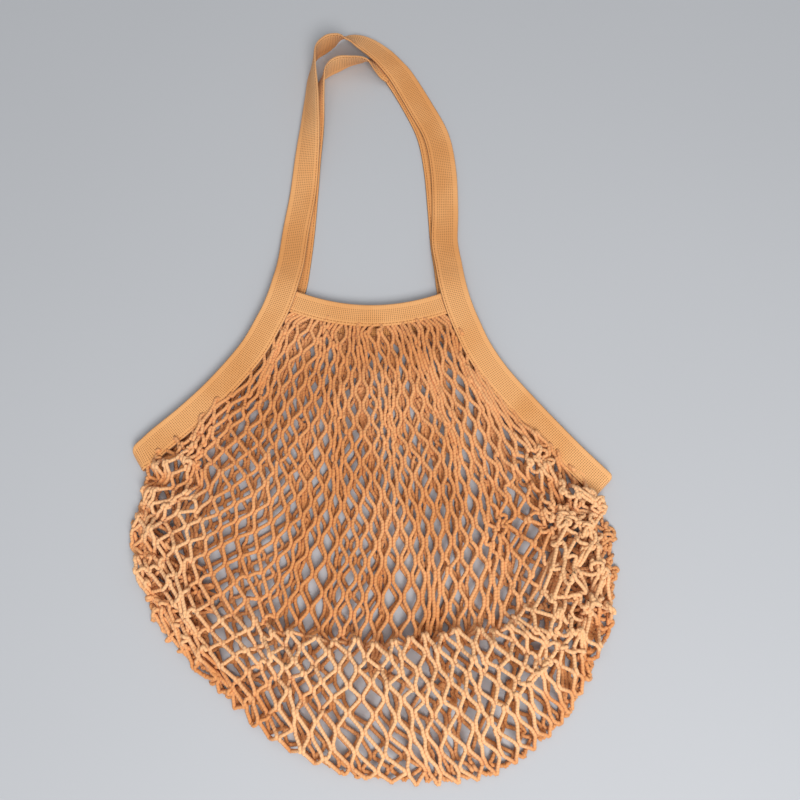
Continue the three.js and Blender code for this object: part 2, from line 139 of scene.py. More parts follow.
# Lay of the front net below the side corners: for each row, column with x, y and height
FRONT_ROWS = {
    14: [(0, -190, -97, 7), (6, -164, -99, 12), (12.3, -130, -103, 12), (17.5, -95, -117, 10),
        (22, -60, -131, 8.4), (27.5, -26, -136, 8.2), (32.8, 8, -138, 8.2), (36.8, 34, -138, 8.2),
        (40.8, 60, -137, 8.4), (46.8, 95, -133, 8.6), (53, 130, -124, 10.5), (58.5, 160, -115, 13),
        (66, 184, -110, 7)],
    17.5: [(0, -172, -129, 4.6), (5, -195, -122, 10), (9.5, -171, -130, 16), (14, -140, -140, 14),
        (18.6, -108, -155, 10), (22.6, -73, -172, 8.4), (27.8, -30, -183, 8.2), (32.8, 8, -186, 8.2),
        (36.8, 35, -186, 8.2), (40.9, 62, -182, 8.4), (47.5, 102, -167, 9.4), (52.5, 131, -150, 12),
        (55, 147, -142, 16), (57.3, 162, -136, 20), (59.5, 177, -132, 19), (61.7, 190, -126, 11),
        (66, 166, -131, 4.6)],
    21: [(0, -148, -157, 4.6), (7.5, -192, -149, 11), (11.5, -169, -163, 16), (15.8, -137, -179, 14),
        (19.8, -106, -197, 12), (23.2, -72, -219, 10), (28.5, -28, -231, 8.8), (34.3, 13, -233, 8.6),
        (39.5, 48, -232, 8.8), (45.5, 84, -226, 10), (51.2, 118, -208, 14), (55.5, 146, -184, 18),
        (59.3, 174, -161, 20), (62, 192, -145, 11), (66, 154, -149, 4.6)],
    22: [(0, -140, -166, 4.6), (8, -189, -158, 11), (11.8, -166, -174, 16), (16.2, -134, -192, 15),
        (20.2, -103, -209, 15), (24.1, -66, -222, 16.5), (29.5, -24, -225, 17), (35.5, 20, -226, 17.3),
        (41, 58, -224, 17.3), (47, 94, -218, 18), (52.6, 127, -207, 20), (56.5, 151, -191, 21),
        (59.5, 174, -172, 21), (62, 193, -155, 11), (66, 151, -159, 4.6)],
    23: [(0, -133, -175, 4.6), (8.3, -186, -167, 11), (12, -162, -185, 15), (16.3, -131, -205, 16),
        (20.2, -100, -222, 18), (24.1, -64, -233, 20.5), (29.3, -23, -238, 21.5), (35, 21, -239, 22),
        (40, 58, -237, 22), (45.7, 95, -230, 22), (51.5, 128, -219, 21.5), (56, 153, -201, 20.5),
        (59.5, 176, -181, 18), (62, 193, -164, 11), (66, 152, -168, 4.6)],
    28: [(0, -122, -199, 4.6), (6.5, -175, -190, 10), (10.8, -154, -213, 12.5), (16, -127, -240, 13.5),
        (20.1, -96, -262, 14), (24.5, -60, -278, 14.5), (29.5, -20, -290, 14.5), (35, 28, -293, 14.5),
        (39.7, 64, -288, 15), (46, 108, -271, 16.5), (52, 140, -249, 17.5), (56.8, 164, -224, 17.5),
        (60.5, 182, -199, 16), (62.5, 192, -184, 11), (66, 154, -188, 4.6)],
    30: [(0, -128, -211, 4.6), (4.5, -168, -209, 7), (9, -149, -229, 8), (14.3, -124, -253, 8),
        (19.2, -95, -281, 8), (23.7, -61, -303, 8), (29, -11, -322, 8), (34.8, 43, -328, 8),
        (41, 88, -323, 8), (47.3, 132, -298, 8), (52.6, 156, -272, 8), (57.6, 174, -241, 8),
        (61.2, 185, -217, 8), (63, 188, -204, 7), (66, 158, -203, 4.6)],
    31: [(0, -132, -215, 4), (4.5, -170, -213, 4), (9, -152, -232, 4), (14.3, -127, -257, 4),
        (19.2, -97, -285, 4), (23.7, -63, -308, 4), (29, -12, -327, 4), (34.8, 43, -333, 4),
        (41, 90, -328, 4), (47.3, 135, -302, 4), (52.6, 160, -276, 4), (57.6, 178, -243, 4),
        (61.2, 189, -220, 4), (63, 192, -206, 4), (66, 160, -206, 4)],
}

# The same for the back net, which lies flat on the floor
BACK_ROWS = {
    14: [(0, -189, -98, 2), (12, -130, -108, 2), (22.4, -60, -134, 2), (33.6, 5, -142, 2),
        (44.6, 70, -138, 2), (55, 130, -124, 2), (66, 182, -114, 2)],
    21: [(0, -196, -146, 2), (14, -138, -178, 2), (23.8, -66, -219, 2), (34, 3, -234, 2),
        (43.7, 72, -228, 2), (53.5, 138, -194, 2), (66, 196, -148, 2)],
    27: [(0, -182, -186, 2), (14.6, -130, -230, 2), (25, -62, -276, 2), (34, 14, -291, 2),
        (43.8, 88, -281, 2), (54, 156, -229, 2), (66, 196, -182, 2)],
    30: [(0, -168, -207, 2), (6.7, -148, -227, 2), (13.4, -123, -251, 2), (19, -94, -279, 2),
        (24.2, -60, -301, 2), (29.9, -11, -320, 2), (35.8, 43, -326, 2), (42, 87, -321, 2),
        (48.2, 131, -297, 2), (53.3, 155, -271, 2), (58.5, 173, -240, 2), (63, 185, -215, 2),
        (66, 189, -201, 2)],
    31: [(0, -170, -211, 1.7), (6.7, -151, -230, 1.7), (13.4, -126, -255, 1.7), (19, -96, -283, 1.7),
        (24.2, -62, -306, 1.7), (29.9, -12, -325, 1.7), (35.8, 43, -331, 1.7), (42, 90, -326, 1.7),
        (48.2, 134, -300, 1.7), (53.3, 159, -274, 1.7), (58.5, 177, -241, 1.7), (63, 189, -216, 1.7),
        (66, 193, -201, 1.7)],
}

# Fold that runs down the lower right of the front net: both ends, the shares of its line over which it
# begins and fades, rise, spread, how far it draws joints in, how much firmer it holds them, and the length
# of its strands over their straight span
CREASE = {
    "start": (132.0, -248.0), "end": (84.0, -295.0), "begins": (-0.4, 0.1), "fades": (0.9, 1.3),
    "rise": 7.0, "spread": 20.0, "draw": 0.92, "hold": 5, "span": 1.04,
}

# Loose spots at the right of the front net: x, y, spread and the share of more yarn in each strand
LOOSE_SPOTS = ((126.0, -98.0, 30.0, 0.45), (176.0, -152.0, 36.0, 0.45), (168.0, -205.0, 28.0, 0.3))

# Each net: guide rows, the tape and band that it is sewn to, x of the first and last loop on the band, the
# rows of the tape's table where the mouth ends, level at the mouth, lowest yarn and room above the lay,
# depth of hollows, sway of strands, chance shift of joints, fold and loose spots, how it is held, tone of
# its colour, which is lower on the back net as painted shade, and seed
FRONT_NET = {
    "rows": FRONT_ROWS, "tape": FRONT_TAPE, "band": FRONT_BAND, "loops": (-66.0, 58.0),
    "mouth": (6.6, 32.4), "level": 8.2, "lowest": 4.3, "headroom": 5.0, "hollow": 1.6, "curl": 1.4,
    "jitter": 2.4, "crease": CREASE, "loose_spots": LOOSE_SPOTS, "held": "draped", "tone": 1.0, "seed": 7,
}
BACK_NET = {
    "rows": BACK_ROWS, "tape": BACK_TAPE, "band": BACK_BAND, "loops": (-62.0, 54.0),
    "mouth": (5.6, 29.6), "level": 2.0, "lowest": 1.7, "headroom": 2.0, "hollow": 0.2, "curl": 1.2,
    "jitter": 1.0, "crease": None, "loose_spots": (), "held": "laid", "tone": 0.9, "seed": 11,
}

# Unevenness of both nets. Drift and heaps: size, share of it in height, number of waves, their shortest and
# longest length. Bundles of strands: size, number of waves, their width in columns and length in rows.
# Pleats: size, share of it in height, rows that one takes, and turn from column to column in radians
DRIFT = {"size": 2.4, "height": 0.35, "waves": 14, "lengths": (40, 130)}
HEAP = {"size": 3.0, "waves": 18, "lengths": (20, 44)}
BUNDLES = {"size": 3.2, "waves": 6, "columns": (5, 12), "rows": (14, 40)}
PLEAT = {"size": 2.0, "height": 0.35, "rows": 5, "turn": 0.3}

# Piles: columns from a side over which heap and pleats thin out, rows over which they begin beside the
# corners, rows over which a lower heap begins at the ridge and its share, columns where the right pile
# begins and is full and over which the left one's draw ends, the calm of joints in the right pile, and
# their shift outside the piles
HEAP_COLUMNS = (6, 16)
HEAP_ROWS = (CORNER_ROW - 5, CORNER_ROW)
PLEAT_COLUMNS = (7, 14)
PLEAT_ROWS = (CORNER_ROW - 3, CORNER_ROW + 1)
LOW_HEAP_ROWS = (RIDGE_ROW - 2, RIDGE_ROW + 1)
LOW_HEAP_SHARE = 0.5
RIGHT_PILE = (0.75 * NET_COLUMNS, 0.85 * NET_COLUMNS)
LEFT_DRAW_END = (0.6 * NET_COLUMNS, 0.8 * NET_COLUMNS)
RIGHT_CALM = 0.7
JITTER_LEAST = 0.3

# Strands: how flat they sway, how much more slack ones do and up to what slack, and the yarn that the heaps
# take in; at the bottom rim, the middle that loops point away from, their bulge and their share of a strand
SWAY_FLAT = (1, 1, 0.2)
SLACK_SWAY = 3
SLACK_MOST = 0.5
HEAP_DRAW = 0.25
RIM_MIDDLE = (0.0, -180.0, 0.0)
RIM_BULGE = 3.5
RIM_SHARE = 0.8

# Settling: rounds, pull to the lay, speed of the links, give of slack yarn, straightening, and the least
# distance between yarns with the force that keeps it and the rounds between two searches
ROUNDS = 240
HOLD = 0.05
LINK_SPEED = 1.5
SLACK_GIVE = 0.3
STRAIGHTEN = 0.06
SPACING = 2.9
SPACING_PUSH = 0.2
SPACING_EVERY = 12

# Painted highlight and fading: height that is added towards the bottom rim and towards the sides, as a
# share of y and x and an offset, so that the painted highlight grows there; scale of soft patches and fine
# flecks and their share; and the patches' values from which and to which the colour turns deep, with its
# least and most
RIM_PAINTED_LIGHT = (-0.15, -0.0405)
SIDE_PAINTED_LIGHT = (0.17, -0.027)
PATCH_SCALE, PATCH_SHARE = 14.0, 0.5
FLECK_SCALE, FLECK_SHARE = 260.0, 0.3
DEEPENING = (0.62, 0.38, 0.0, 0.8)

# Woven pattern: half the width of a border's blurred edge, cosines from which and to which a pinhole and a
# groove grow, fine threads to each pinhole, and the share of fine threads and grooves in the height
BORDER_BLUR = 0.0006
PINHOLE_SPAN = (-0.1, 0.85)
GROOVE_SPAN = (-0.4, 1.0)
FINE_THREADS = 3.0
FINE_SHARE = 0.12
GROOVE_SHARE = 0.35

# Cloths: roughness, sheen, heights from which and to which they pale as a painted highlight, strength of
# the relief, share and scale of the fibres in it, and darker parts. For the tape, the dark parts are
# painted shade in the pinholes and in the grooves between ribs, each with a shade and its share. For the
# yarn, the dark part is painted shade in the grooves between the plies, with the plies' values from which
# and to which it grows, with its least and most. For the thread and the floor, it is a darker tone that
# comes and goes at random.
RELIEF_DEPTH = 0.0003
TAPE_CLOTH = {
    "roughness": 0.9, "sheen": 0.12, "pale": (0.002, 0.03), "relief": 0.7, "fibres": 0.25, "scale": 2600.0,
    "dark": {"Grooves": ((0.8, 0.75, 0.7), 0.3), "Holes": ((0.3, 0.25, 0.2), 0.85)},
}
YARN_CLOTH = {
    "roughness": 0.92, "sheen": 0.15, "pale": (0.0115, 0.0195), "relief": 0.4, "fibres": 0.8,
    "scale": (400.0, 9.0, 1.0), "dark": 0.55, "grows": (0.1, -1.0, 0.0, 0.2),
}
THREAD_CLOTH = {"roughness": 0.8, "sheen": 0.1, "scale": 300.0, "dark": 0.6}
FLOOR_PAINT = {"roughness": 0.8, "scale": 3.0, "dark": 0.96}

# Stage: camera's place, tilt, lens and sensor, the floor's side and drop, the soft light all round, and
# each lamp's name, place, side and power
CAMERA_PLACE = (0.0236, -0.2081, 0.6665)
CAMERA_TILT = 15.0
LENS = 36.0
SENSOR = 36.0
FLOOR_SIDE = 6.0
FLOOR_DROP = 0.0003
SKY_COLOUR = (0.93, 0.96, 1.0, 1)
SKY_STRENGTH = 0.38
LAMPS = (("window", (0.35, -1.2, 1.4), 0.9, 30.0), ("sky", (0.0, 0.3, 2.2), 2.4, 12.0))


def length_property(name, description, millimetres):
    """A length that a user may change, with its default in millimetres."""
    return FloatProperty(
        name=name, description=description, default=millimetres * MM, unit="LENGTH", precision=5)


def colour_property(name, description, value):
    """A colour that a user may change."""
    return FloatVectorProperty(
        name=name, description=description, subtype="COLOR", default=value, min=0, max=1)


class BagSizes(bpy.types.PropertyGroup):
    """Sizes of the yarn, tapes and sewing."""

    yarn: length_property("Yarn", "Thickness of the net's yarn", 3.3)
    strand: length_property("Strand", "Yarn from one joint of the net to the next", 15.4)
    lay: length_property("Lay", "Length of yarn from one ply's crossing to the next", 2.6)
    tape: length_property("Handle tape", "Width of the handle tapes", 24)
    band: length_property("Mouth band", "Width of the mouth bands", 20)
    thickness: length_property("Tape thickness", "Thickness of tapes and bands", 1.5)
    weave: length_property("Weave", "Distance between the pinholes of the woven tape", 1.72)
    border: length_property("Border", "Plain woven border along both edges of a tape", 4.4)
    stitch: length_property("Stitch", "Distance from stitch to stitch", 2.9)
    thread: length_property("Thread", "Thickness of the sewing thread", 0.45)


class BagColours(bpy.types.PropertyGroup):
    """Colours of the cotton and of the floor."""

    # The pale tones are a painted highlight where the cotton is raised and towards the bottom rim and the
    # sides, and also show in random soft patches. The deep tones show in random patches, and they give the
    # painted shade in the pinholes, in the grooves between ribs and in the grooves between plies.
    yarn: colour_property("Yarn", "Colour of the net", (0.79, 0.365, 0.145))
    yarn_highlight_and_fade: colour_property("Yarn, faded", "Colour of the net where it is raised", (0.85, 0.485, 0.24))
    yarn_deep: colour_property(
        "Yarn, deep", "Colour of the net where it is least faded", (0.65, 0.255, 0.078))
    tape: colour_property("Tape", "Colour of the tapes and bands", (0.82, 0.40, 0.15))
    tape_highlight_and_fade: colour_property(
        "Tape, faded", "Colour of the tapes where they are raised", (0.88, 0.49, 0.215))
    tape_deep: colour_property(
        "Tape, deep", "Colour of the tapes where they are least faded", (0.70, 0.30, 0.09))
    thread: colour_property("Thread", "Colour of the sewing thread", (0.42, 0.15, 0.035))
    floor: colour_property("Floor", "Colour of the floor", (0.47, 0.48, 0.50))


def monotone(knots, values, at):
    """Table values between knots: a cubic whose slope at a knot is the harmonic mean of the slopes beside
    it, so that it never overshoots."""
    knots = np.asarray(knots, float)
    values = np.asarray(values, float)
    step = np.diff(knots)
    slope = np.diff(values, axis=0) / step[:, None]
    product = slope[:-1] * slope[1:]
    total = np.where(product > 0, slope[:-1] + slope[1:], 1.0)
    bend = np.vstack([slope[:1], np.where(product > 0, 2 * product / total, 0.0), slope[-1:]])
    i = np.clip(np.searchsorted(knots, at, side="right") - 1, 0, len(knots) - 2)
    f = ((at - knots[i]) / step[i])[:, None]
    swing = step[i][:, None] * f * (1 - f) * (bend[i] * (1 - f) - bend[i + 1] * f)
    return values[i] * (1 + 2 * f) * (1 - f) ** 2 + values[i + 1] * f ** 2 * (3 - 2 * f) + swing


def smooth_path(points, at):
    """Catmull-Rom curve through points, at fractional point numbers."""
    padded = np.vstack([2 * points[0] - points[1], points, 2 * points[-1] - points[-2]])
    i = np.clip(at.astype(int), 0, len(points) - 2)
    f = (at - i)[:, None]
    a, b, c, d = (padded[i + n] for n in range(4))
    square, cube = 2 * a - 5 * b + 4 * c - d, 3 * b - a - 3 * c + d
    return 0.5 * (2 * b + (c - a) * f + square * f ** 2 + cube * f ** 3)


def unit(vectors):
    """Vectors of the same directions and of length one."""
    return vectors / np.maximum(np.linalg.norm(vectors, axis=-1, keepdims=True), 1e-9)


def smoothstep(x, low, high):
    """Rise from 0 at low to 1 at high, level at both ends."""
    f = np.clip((x - low) / (high - low), 0, 1)
    return f * f * (3 - 2 * f)


def tape_sections(table, at):
    """Cross sections of a tape at fractional table rows: the middle follows a smooth path at the table's
    heights, and the width direction is the level one to the outside, turned up by the tilt and set square
    to the run."""
    centre = smooth_path(table[:, :3], at)
    upright = monotone(np.arange(len(table)), table[:, 2:], at)
    centre[:, 2] = upright[:, 0]
    tilt = np.radians(upright[:, 1])[:, None]
    along = unit(np.gradient(centre, axis=0))
    heading = unit(along * (1, 1, 0))
    outward = np.cross(UP, heading)
    across = outward * np.cos(tilt) + UP * np.sin(tilt)
    across = unit(across - along * np.sum(across * along, axis=1, keepdims=True))
    return {"centre": centre, "along": along, "across": across, "heading": heading, "outward": outward}


def whole_tape(table):
    """A tape's cross sections from end to end, many to each table row."""
    return tape_sections(table, np.linspace(0, len(table) - 1, (len(table) - 1) * PATH_STEPS + 1))


def run_length(run):
    """Length of a run from its start to every section."""
    return np.concatenate([[0], np.cumsum(np.linalg.norm(np.diff(run["centre"], axis=0), axis=1))])


def fold_under(run, end, way):
    """Half a turn under the bag beyond a tape's end, down to the floor, and a short tail below the tape."""
    start = run["centre"][end]
    heading = run["heading"][end] * way
    radius = (start[2] - FLOOR_TAPE_LEVEL) / 2
    angle = np.linspace(0, np.pi, PATH_STEPS + 1)[1:, None]
    turn = start + radius * (np.sin(angle) * heading - (1 - np.cos(angle)) * UP)
    tail = turn[-1] - np.linspace(0, FOLD_TAIL, PATH_STEPS + 1)[1:, None] * heading
    centre = np.vstack([turn, tail])
    back = np.repeat(-heading[None], PATH_STEPS, axis=0)
    along = np.vstack([np.cos(angle) * heading - np.sin(angle) * UP, back])
    across = np.repeat(run["outward"][end][None], len(centre), axis=0)
    return centre, along * way, across


def front_tape_run():
    """The front tape with both ends turned under. Its trim, the width to take off, is a quarter circle's
    rise towards each corner, as high as the corner's cut."""
    run = whole_tape(FRONT_TAPE)
    first = [part[::-1] for part in fold_under(run, 0, -1)]
    last = fold_under(run, -1, 1)
    keys = ("centre", "along", "across")
    run = {key: np.vstack([first[n], run[key], last[n]]) for n, key in enumerate(keys)}
    length = run_length(run)
    turn = len(first[0]) - PATH_STEPS // 2
    run["trim"] = np.zeros(len(length))
    for at, cut in zip((length[turn], length[-turn]), CORNER_CUTS):
        near = np.clip(1 - np.abs(length - at) / cut, 0, 1)
        run["trim"] += cut * (1 - np.sqrt(1 - near ** 2))
    return run


def back_tape_table(front):
    """The back tape's table, with both ends carried on to where the front tape's tails end."""
    tails = []
    for end, inner in ((0, 1), (-1, -2)):
        run = unit(front["centre"][inner] - front["centre"][end])
        tails.append((*(front["centre"][end] - SEW_GAP * run)[:2], FLOOR_TAPE_LEVEL, 0.0))
    return np.vstack([tails[0], BACK_TAPE, tails[1]])


def band_y(band, x):
    """Middle line of a mouth band: a straight line between its ends, less a parabola."""
    (x0, y0), (x1, y1) = band["left"], band["right"]
    s = (x - x0) / (x1 - x0)
    return y0 + (y1 - y0) * s - 4 * band["sag"] * s * (1 - s)


def band_run(band):
    """Cross sections of a mouth band, whose ends rise where they lap a tape."""
    x = np.linspace(band["left"][0], band["right"][0], BAND_SECTIONS)
    to_end = np.minimum(x - x[0], x[-1] - x)
    z = band["level"] + band["lift"] * (1 - smoothstep(to_end, BAND_END, 2 * BAND_END))
    centre = np.column_stack([x, band_y(band, x), z])
    along = unit(np.gradient(centre, axis=0))
    return {"centre": centre, "along": along, "across": unit(np.cross(UP, along))}


def even_sections(run, step):
    """The same sections at an even distance of about step, by straight lines between close ones."""
    length = run_length(run)
    at = np.linspace(0, length[-1], int(round(length[-1] / step)) + 1)
    even = {key: np.column_stack([np.interp(at, length, run[key][:, n]) for n in range(3)])
            for key in ("centre", "along", "across")}
    even["along"], even["across"] = unit(even["along"]), unit(even["across"])
    even["trim"] = np.interp(at, length, run.get("trim", np.zeros(len(length))))
    return even, length[-1]


def piece_mesh(name, points, faces, place, material):
    """A mesh object at the origin. points are millimetres; faces are arrays of corner numbers, one for each
    number of corners; place holds each face corner's place on the cloth, in metres, for the weave."""
    mesh = bpy.data.meshes.new(name)
    mesh.vertices.add(len(points))
    mesh.vertices.foreach_set("co", (points * MM).astype(np.float32).ravel())
    corners = np.concatenate([face.ravel() for face in faces])
    counts = np.concatenate([np.full(len(face), face.shape[1]) for face in faces])
    mesh.loops.add(len(corners))
    mesh.loops.foreach_set("vertex_index", corners.astype(np.int32))
    mesh.polygons.add(len(counts))
    mesh.polygons.foreach_set("loop_start", np.concatenate([[0], np.cumsum(counts)[:-1]]).astype(np.int32))
    mesh.polygons.foreach_set("use_smooth", np.ones(len(counts), bool))
    weave = mesh.uv_layers.new(name="weave")
    flat = np.concatenate([part.reshape(-1, 2) for part in place]).astype(np.float32)
    weave.data.foreach_set("uv", flat.ravel())
    mesh.update(calc_edges=True)
    if mesh.validate():
        raise RuntimeError(f"{name}: the mesh has faulty faces")
    mesh.materials.append(material)
    piece = bpy.data.objects.new(name, mesh)
    bpy.context.scene.collection.objects.link(piece)
    return piece


def tape_mesh(name, run, width, sizes, material):
    """A tape folded double along its outer edge, carried along its sections. The section is a flat loop:
    rounded at the fold, with two lips at the sewn edge. Every other corner between the borders is sunk as a
    pinhole. The run's trim narrows the tape at its outer edge."""
    step = sizes.weave / MM / 2
    sections, length = even_sections(run, step)
    strips = int(round(width / step))
    half = sizes.thickness / MM / 2
    side = np.linspace(0.5, -0.5, strips + 1)[1:] * width
    edge = width / 2 - np.abs(side)
    crown = half * np.sqrt(1 - np.clip(1 - edge / EDGE_ROUND, 0, EDGE_THIN) ** 2)
    k = np.arange(1, strips + 1)
    i = np.arange(len(sections["centre"]))[:, None]
    open_weave = (edge > sizes.border / MM)[None, :]
    pinhole = (i % 2 == 0) & (k % 2 == 0)[None, :] & open_weave
    rib = (i % 2 == 0) & ~pinhole
    sewn = (side < 0) & (np.abs(edge - SEAM_FROM_EDGE) < step * SEAM_HALF)
    relief = PINHOLE_DEPTH * pinhole + RIB_DEPTH * rib + SEAM_DEPTH * sewn[None, :]
    top = crown[None, :] - relief
    centre, across = sections["centre"][:, None], sections["across"][:, None]
    normal = np.cross(sections["along"], sections["across"])[:, None]
    narrow = 1 - sections["trim"][:, None] / width

    def lay(v, h):
        v = (v + width / 2) * narrow - width / 2
        return centre + across * v[..., None] + normal * h[..., None]

    rows = len(i)
    fold = lay(np.full((rows, 1), width / 2), np.zeros((rows, 1)))
    slit = lay(np.full((rows, 1), -width / 2 + LIP_DEPTH), np.zeros((rows, 1)))
    over = lay(np.repeat(side[None], rows, axis=0), top)
    under = lay(np.repeat(side[None, ::-1], rows, axis=0), -top[:, ::-1])
    loop = np.concatenate([fold, over, slit, under], axis=1)
    ring = loop.shape[1]
    start = (np.arange(rows - 1) * ring)[:, None]
    c = np.arange(ring)[None, :]
    n = (c + 1) % ring
    quads = np.stack([start + c, start + ring + c, start + ring + n, start + n], -1).reshape(-1, 4)
    strip = np.arange(1, strips)
    ends = np.stack([strip, strip + 1, ring - strip - 1, ring - strip], -1)
    tips = np.array([(0, 1, ring - 1), (strips, strips + 1, strips + 2)])
    last = (rows - 1) * ring
    quads = np.vstack([quads, ends, last + ends[:, ::-1]])
    tips = np.vstack([tips, last + tips[:, ::-1]])
    strip_of = np.concatenate([[0], k, [strips - 2], k[::-1]])
    place = np.stack(np.broadcast_arrays(i * step, strip_of[None, :] * step), -1).reshape(-1, 2) * MM
    piece = piece_mesh(name, loop.reshape(-1, 3), [quads, tips], [place[quads], place[tips]], material)
    return piece, length * MM


def stitch_mesh(name, run, width, sizes, material):
    """A row of stitches along a tape's sewn edge, over and under it: each is a short bar of thread with
    four sides that dips at both ends."""
    pitch = sizes.stitch / MM
    sections, _ = even_sections(run, pitch)
    middle, along, across = (sections[key][1:-1, None, None] for key in ("centre", "along", "across"))
    face = np.array([1.0, -1.0])[None, :, None, None]
    outward = np.cross(along, across) * face
    reach = np.array(STITCH_REACH)[None, None, :, None] * pitch
    height = sizes.thickness / MM / 2 + np.array(STITCH_RISE)[None, None, :, None]
    line = middle + across * (SEAM_FROM_EDGE - width / 2) + along * reach + outward * height
    c = np.arange(4)
    angle = (c * np.pi / 2)[:, None]
    around = across[..., None, :] * np.cos(angle) + outward[..., None, :] * np.sin(angle)
    points = line[..., None, :] + around * (sizes.thread / MM / 2)
    count = points.shape[0] * 2
    n = (c + 1) % 4
    walls = [np.stack([c, n, n + 4, c + 4], -1) + ring * 4 for ring in range(3)]
    tube = np.concatenate([*walls, [(3, 2, 1, 0), (12, 13, 14, 15)]])
    quads = (np.arange(count) * 16)[:, None, None] + tube[None]
    quads[1::2] = quads[1::2][..., ::-1]
    quads = quads.reshape(-1, 4)
    place = np.tile(np.column_stack([np.repeat(c, 4), np.tile(c, 4)]), (count, 1)) * sizes.thread
    return piece_mesh(name, points.reshape(-1, 3), [quads], [place[quads]], material)


def guide_surface(rows):
    """Place of all columns and rows below the corners: smooth along each guide row, then down the rows."""
    columns = np.arange(NET_COLUMNS + 1, dtype=float)
    guides = []
    for row in sorted(rows):
        table = np.array(rows[row], float)
        guides.append(monotone(table[:, 0], table[:, 1:], columns).ravel())
    below = np.arange(CORNER_ROW, NET_ROWS + 1, dtype=float)
    return monotone(sorted(rows), np.array(guides), below).reshape(len(below), -1, 3)


def sewn_edge(table, at, width):
    """Places under the inner edge of a tape, where the net is sewn in."""
    sections = whole_tape(table)
    dense = np.clip(np.round(at * PATH_STEPS).astype(int), 0, len(sections["centre"]) - 1)
    inner = sections["centre"][dense] - sections["outward"][dense] * (width / 2 - SEWN_UNDER)
    return inner - UP * SEWN_DROP


def net_lay(net, sizes):
    """Place of every column and row of a net, millimetres. Above the corners a row runs from tape to tape:
    its points go straight from the mouth band to the corner row, and near the sides they are drawn to the
    tapes' edges."""
    lay = np.zeros((NET_ROWS + 1, NET_COLUMNS + 1, 3))
    lay[CORNER_ROW:] = guide_surface(net["rows"])
    row, column = np.mgrid[0:CORNER_ROW, 0:NET_COLUMNS + 1].astype(float)
    first = CORNER_ROW + 1 - row
    last = NET_COLUMNS - first
    share = np.clip((column - first) / (last - first), 0, 1)
    down = row / CORNER_ROW
    weight = np.stack([down, down - ROW_LAG * down * (1 - down), np.sqrt(down)], -1)

    def mouth(s):
        x = net["loops"][0] + (net["loops"][1] - net["loops"][0]) * s
        sewn = band_y(net["band"], x) - sizes.band / MM / 2 + SEWN_UNDER
        return np.stack([x, sewn, np.full_like(x, net["level"] - SEWN_DROP)], -1)

    def corner(s):
        flat = monotone(np.arange(NET_COLUMNS + 1), lay[CORNER_ROW], (1 + (NET_COLUMNS - 2) * s).ravel())
        return flat.reshape(*s.shape, 3)

    def straight(s):
        return mouth(s) * (1 - weight) + corner(s) * weight

    body = straight(share)
    rows = np.arange(CORNER_ROW) / CORNER_ROW
    for side, start, end in ((0.0, net["mouth"][0], 0.0), (1.0, net["mouth"][1], len(net["tape"]) - 1.0)):
        edge = sewn_edge(net["tape"], start + (end - start) * rows, sizes.tape / MM)
        pull = edge[:, None] - straight(np.full_like(share, side))
        near = np.clip(1 - np.abs(share - side) / TAPE_DRAW, 0, 1) ** 2 * np.minimum(row, 1)
        body += pull * near[..., None]
    lay[:CORNER_ROW] = body
    return lay


def net_lattice():
    """A diamond net: joints on every other place of the grid, stepped in above the corners, and strands
    from each joint to the two below it. Gives each joint's row and column, its number on the grid, the ends
    of strands, and which joints are sewn in or lie on the rim."""
    row, column = np.mgrid[0:NET_ROWS + 1, 0:NET_COLUMNS + 1]
    inset = np.maximum(CORNER_ROW - row, 0)
    joint = ((row + column) % 2 == 1) & (column >= inset) & (column <= NET_COLUMNS - inset)
    number = np.where(joint, np.cumsum(joint).reshape(joint.shape) - 1, -1)
    upper, lower = [], []
    for way in (-1, 1):
        start, stop = max(-way, 0), NET_COLUMNS + 1 - max(way, 0)
        below = np.full_like(number, -1)
        below[:-1, start:stop] = number[1:, start + way:stop + way]
        linked = joint & (below >= 0)
        upper.append(number[linked])
        lower.append(below[linked])
    row, column = row[joint], column[joint]
    to_side = np.minimum(column, NET_COLUMNS - column)
    rim = (row == NET_ROWS) | ((row > CORNER_ROW) & (to_side == 0))
    sewn = (row == 0) | ((row <= CORNER_ROW) & (to_side == CORNER_ROW + 1 - row))
    return {"row": row, "column": column, "number": number, "fixed": sewn | rim,
            "upper": np.concatenate(upper), "lower": np.concatenate(lower)}


def uneven(place, rng, waves, lengths):
    """Soft unevenness: a sum of plane waves over two coordinates, each of chance direction and length."""
    total = np.zeros((len(place), 3))
    for _ in range(waves):
        length = rng.uniform(*lengths)
        angle = rng.uniform(0, 2 * np.pi)
        phase = rng.uniform(0, 2 * np.pi, 3)
        wave = 2 * np.pi / length * (place[:, 0] * np.cos(angle) + place[:, 1] * np.sin(angle))
        total += np.sin(wave[:, None] + phase) * rng.normal(0, 1, 3)
    return total / math.sqrt(waves / 2)


def bundles(row, column, rng):
    """Sideways drift of the strands in bundles that run down the net: a sum of waves a few columns wide and
    many rows long."""
    total = np.zeros(len(row))
    for _ in range(BUNDLES["waves"]):
        across = column / rng.uniform(*BUNDLES["columns"])
        down = row / rng.uniform(*BUNDLES["rows"]) * rng.choice([-1, 1])
        total += np.sin(2 * np.pi * (across + down) + rng.uniform(0, 2 * np.pi)) * rng.normal(0, 1)
    return total / math.sqrt(BUNDLES["waves"] / 2)


def heaped(row, column):
    """How loosely the net is heaped: fully beside the corners, half below the ridge, else not at all."""
    to_side = np.minimum(column, NET_COLUMNS - column)
    beside = (1 - smoothstep(to_side, *HEAP_COLUMNS)) * smoothstep(row, *HEAP_ROWS)
    return np.maximum(beside, LOW_HEAP_SHARE * smoothstep(row, *LOW_HEAP_ROWS))


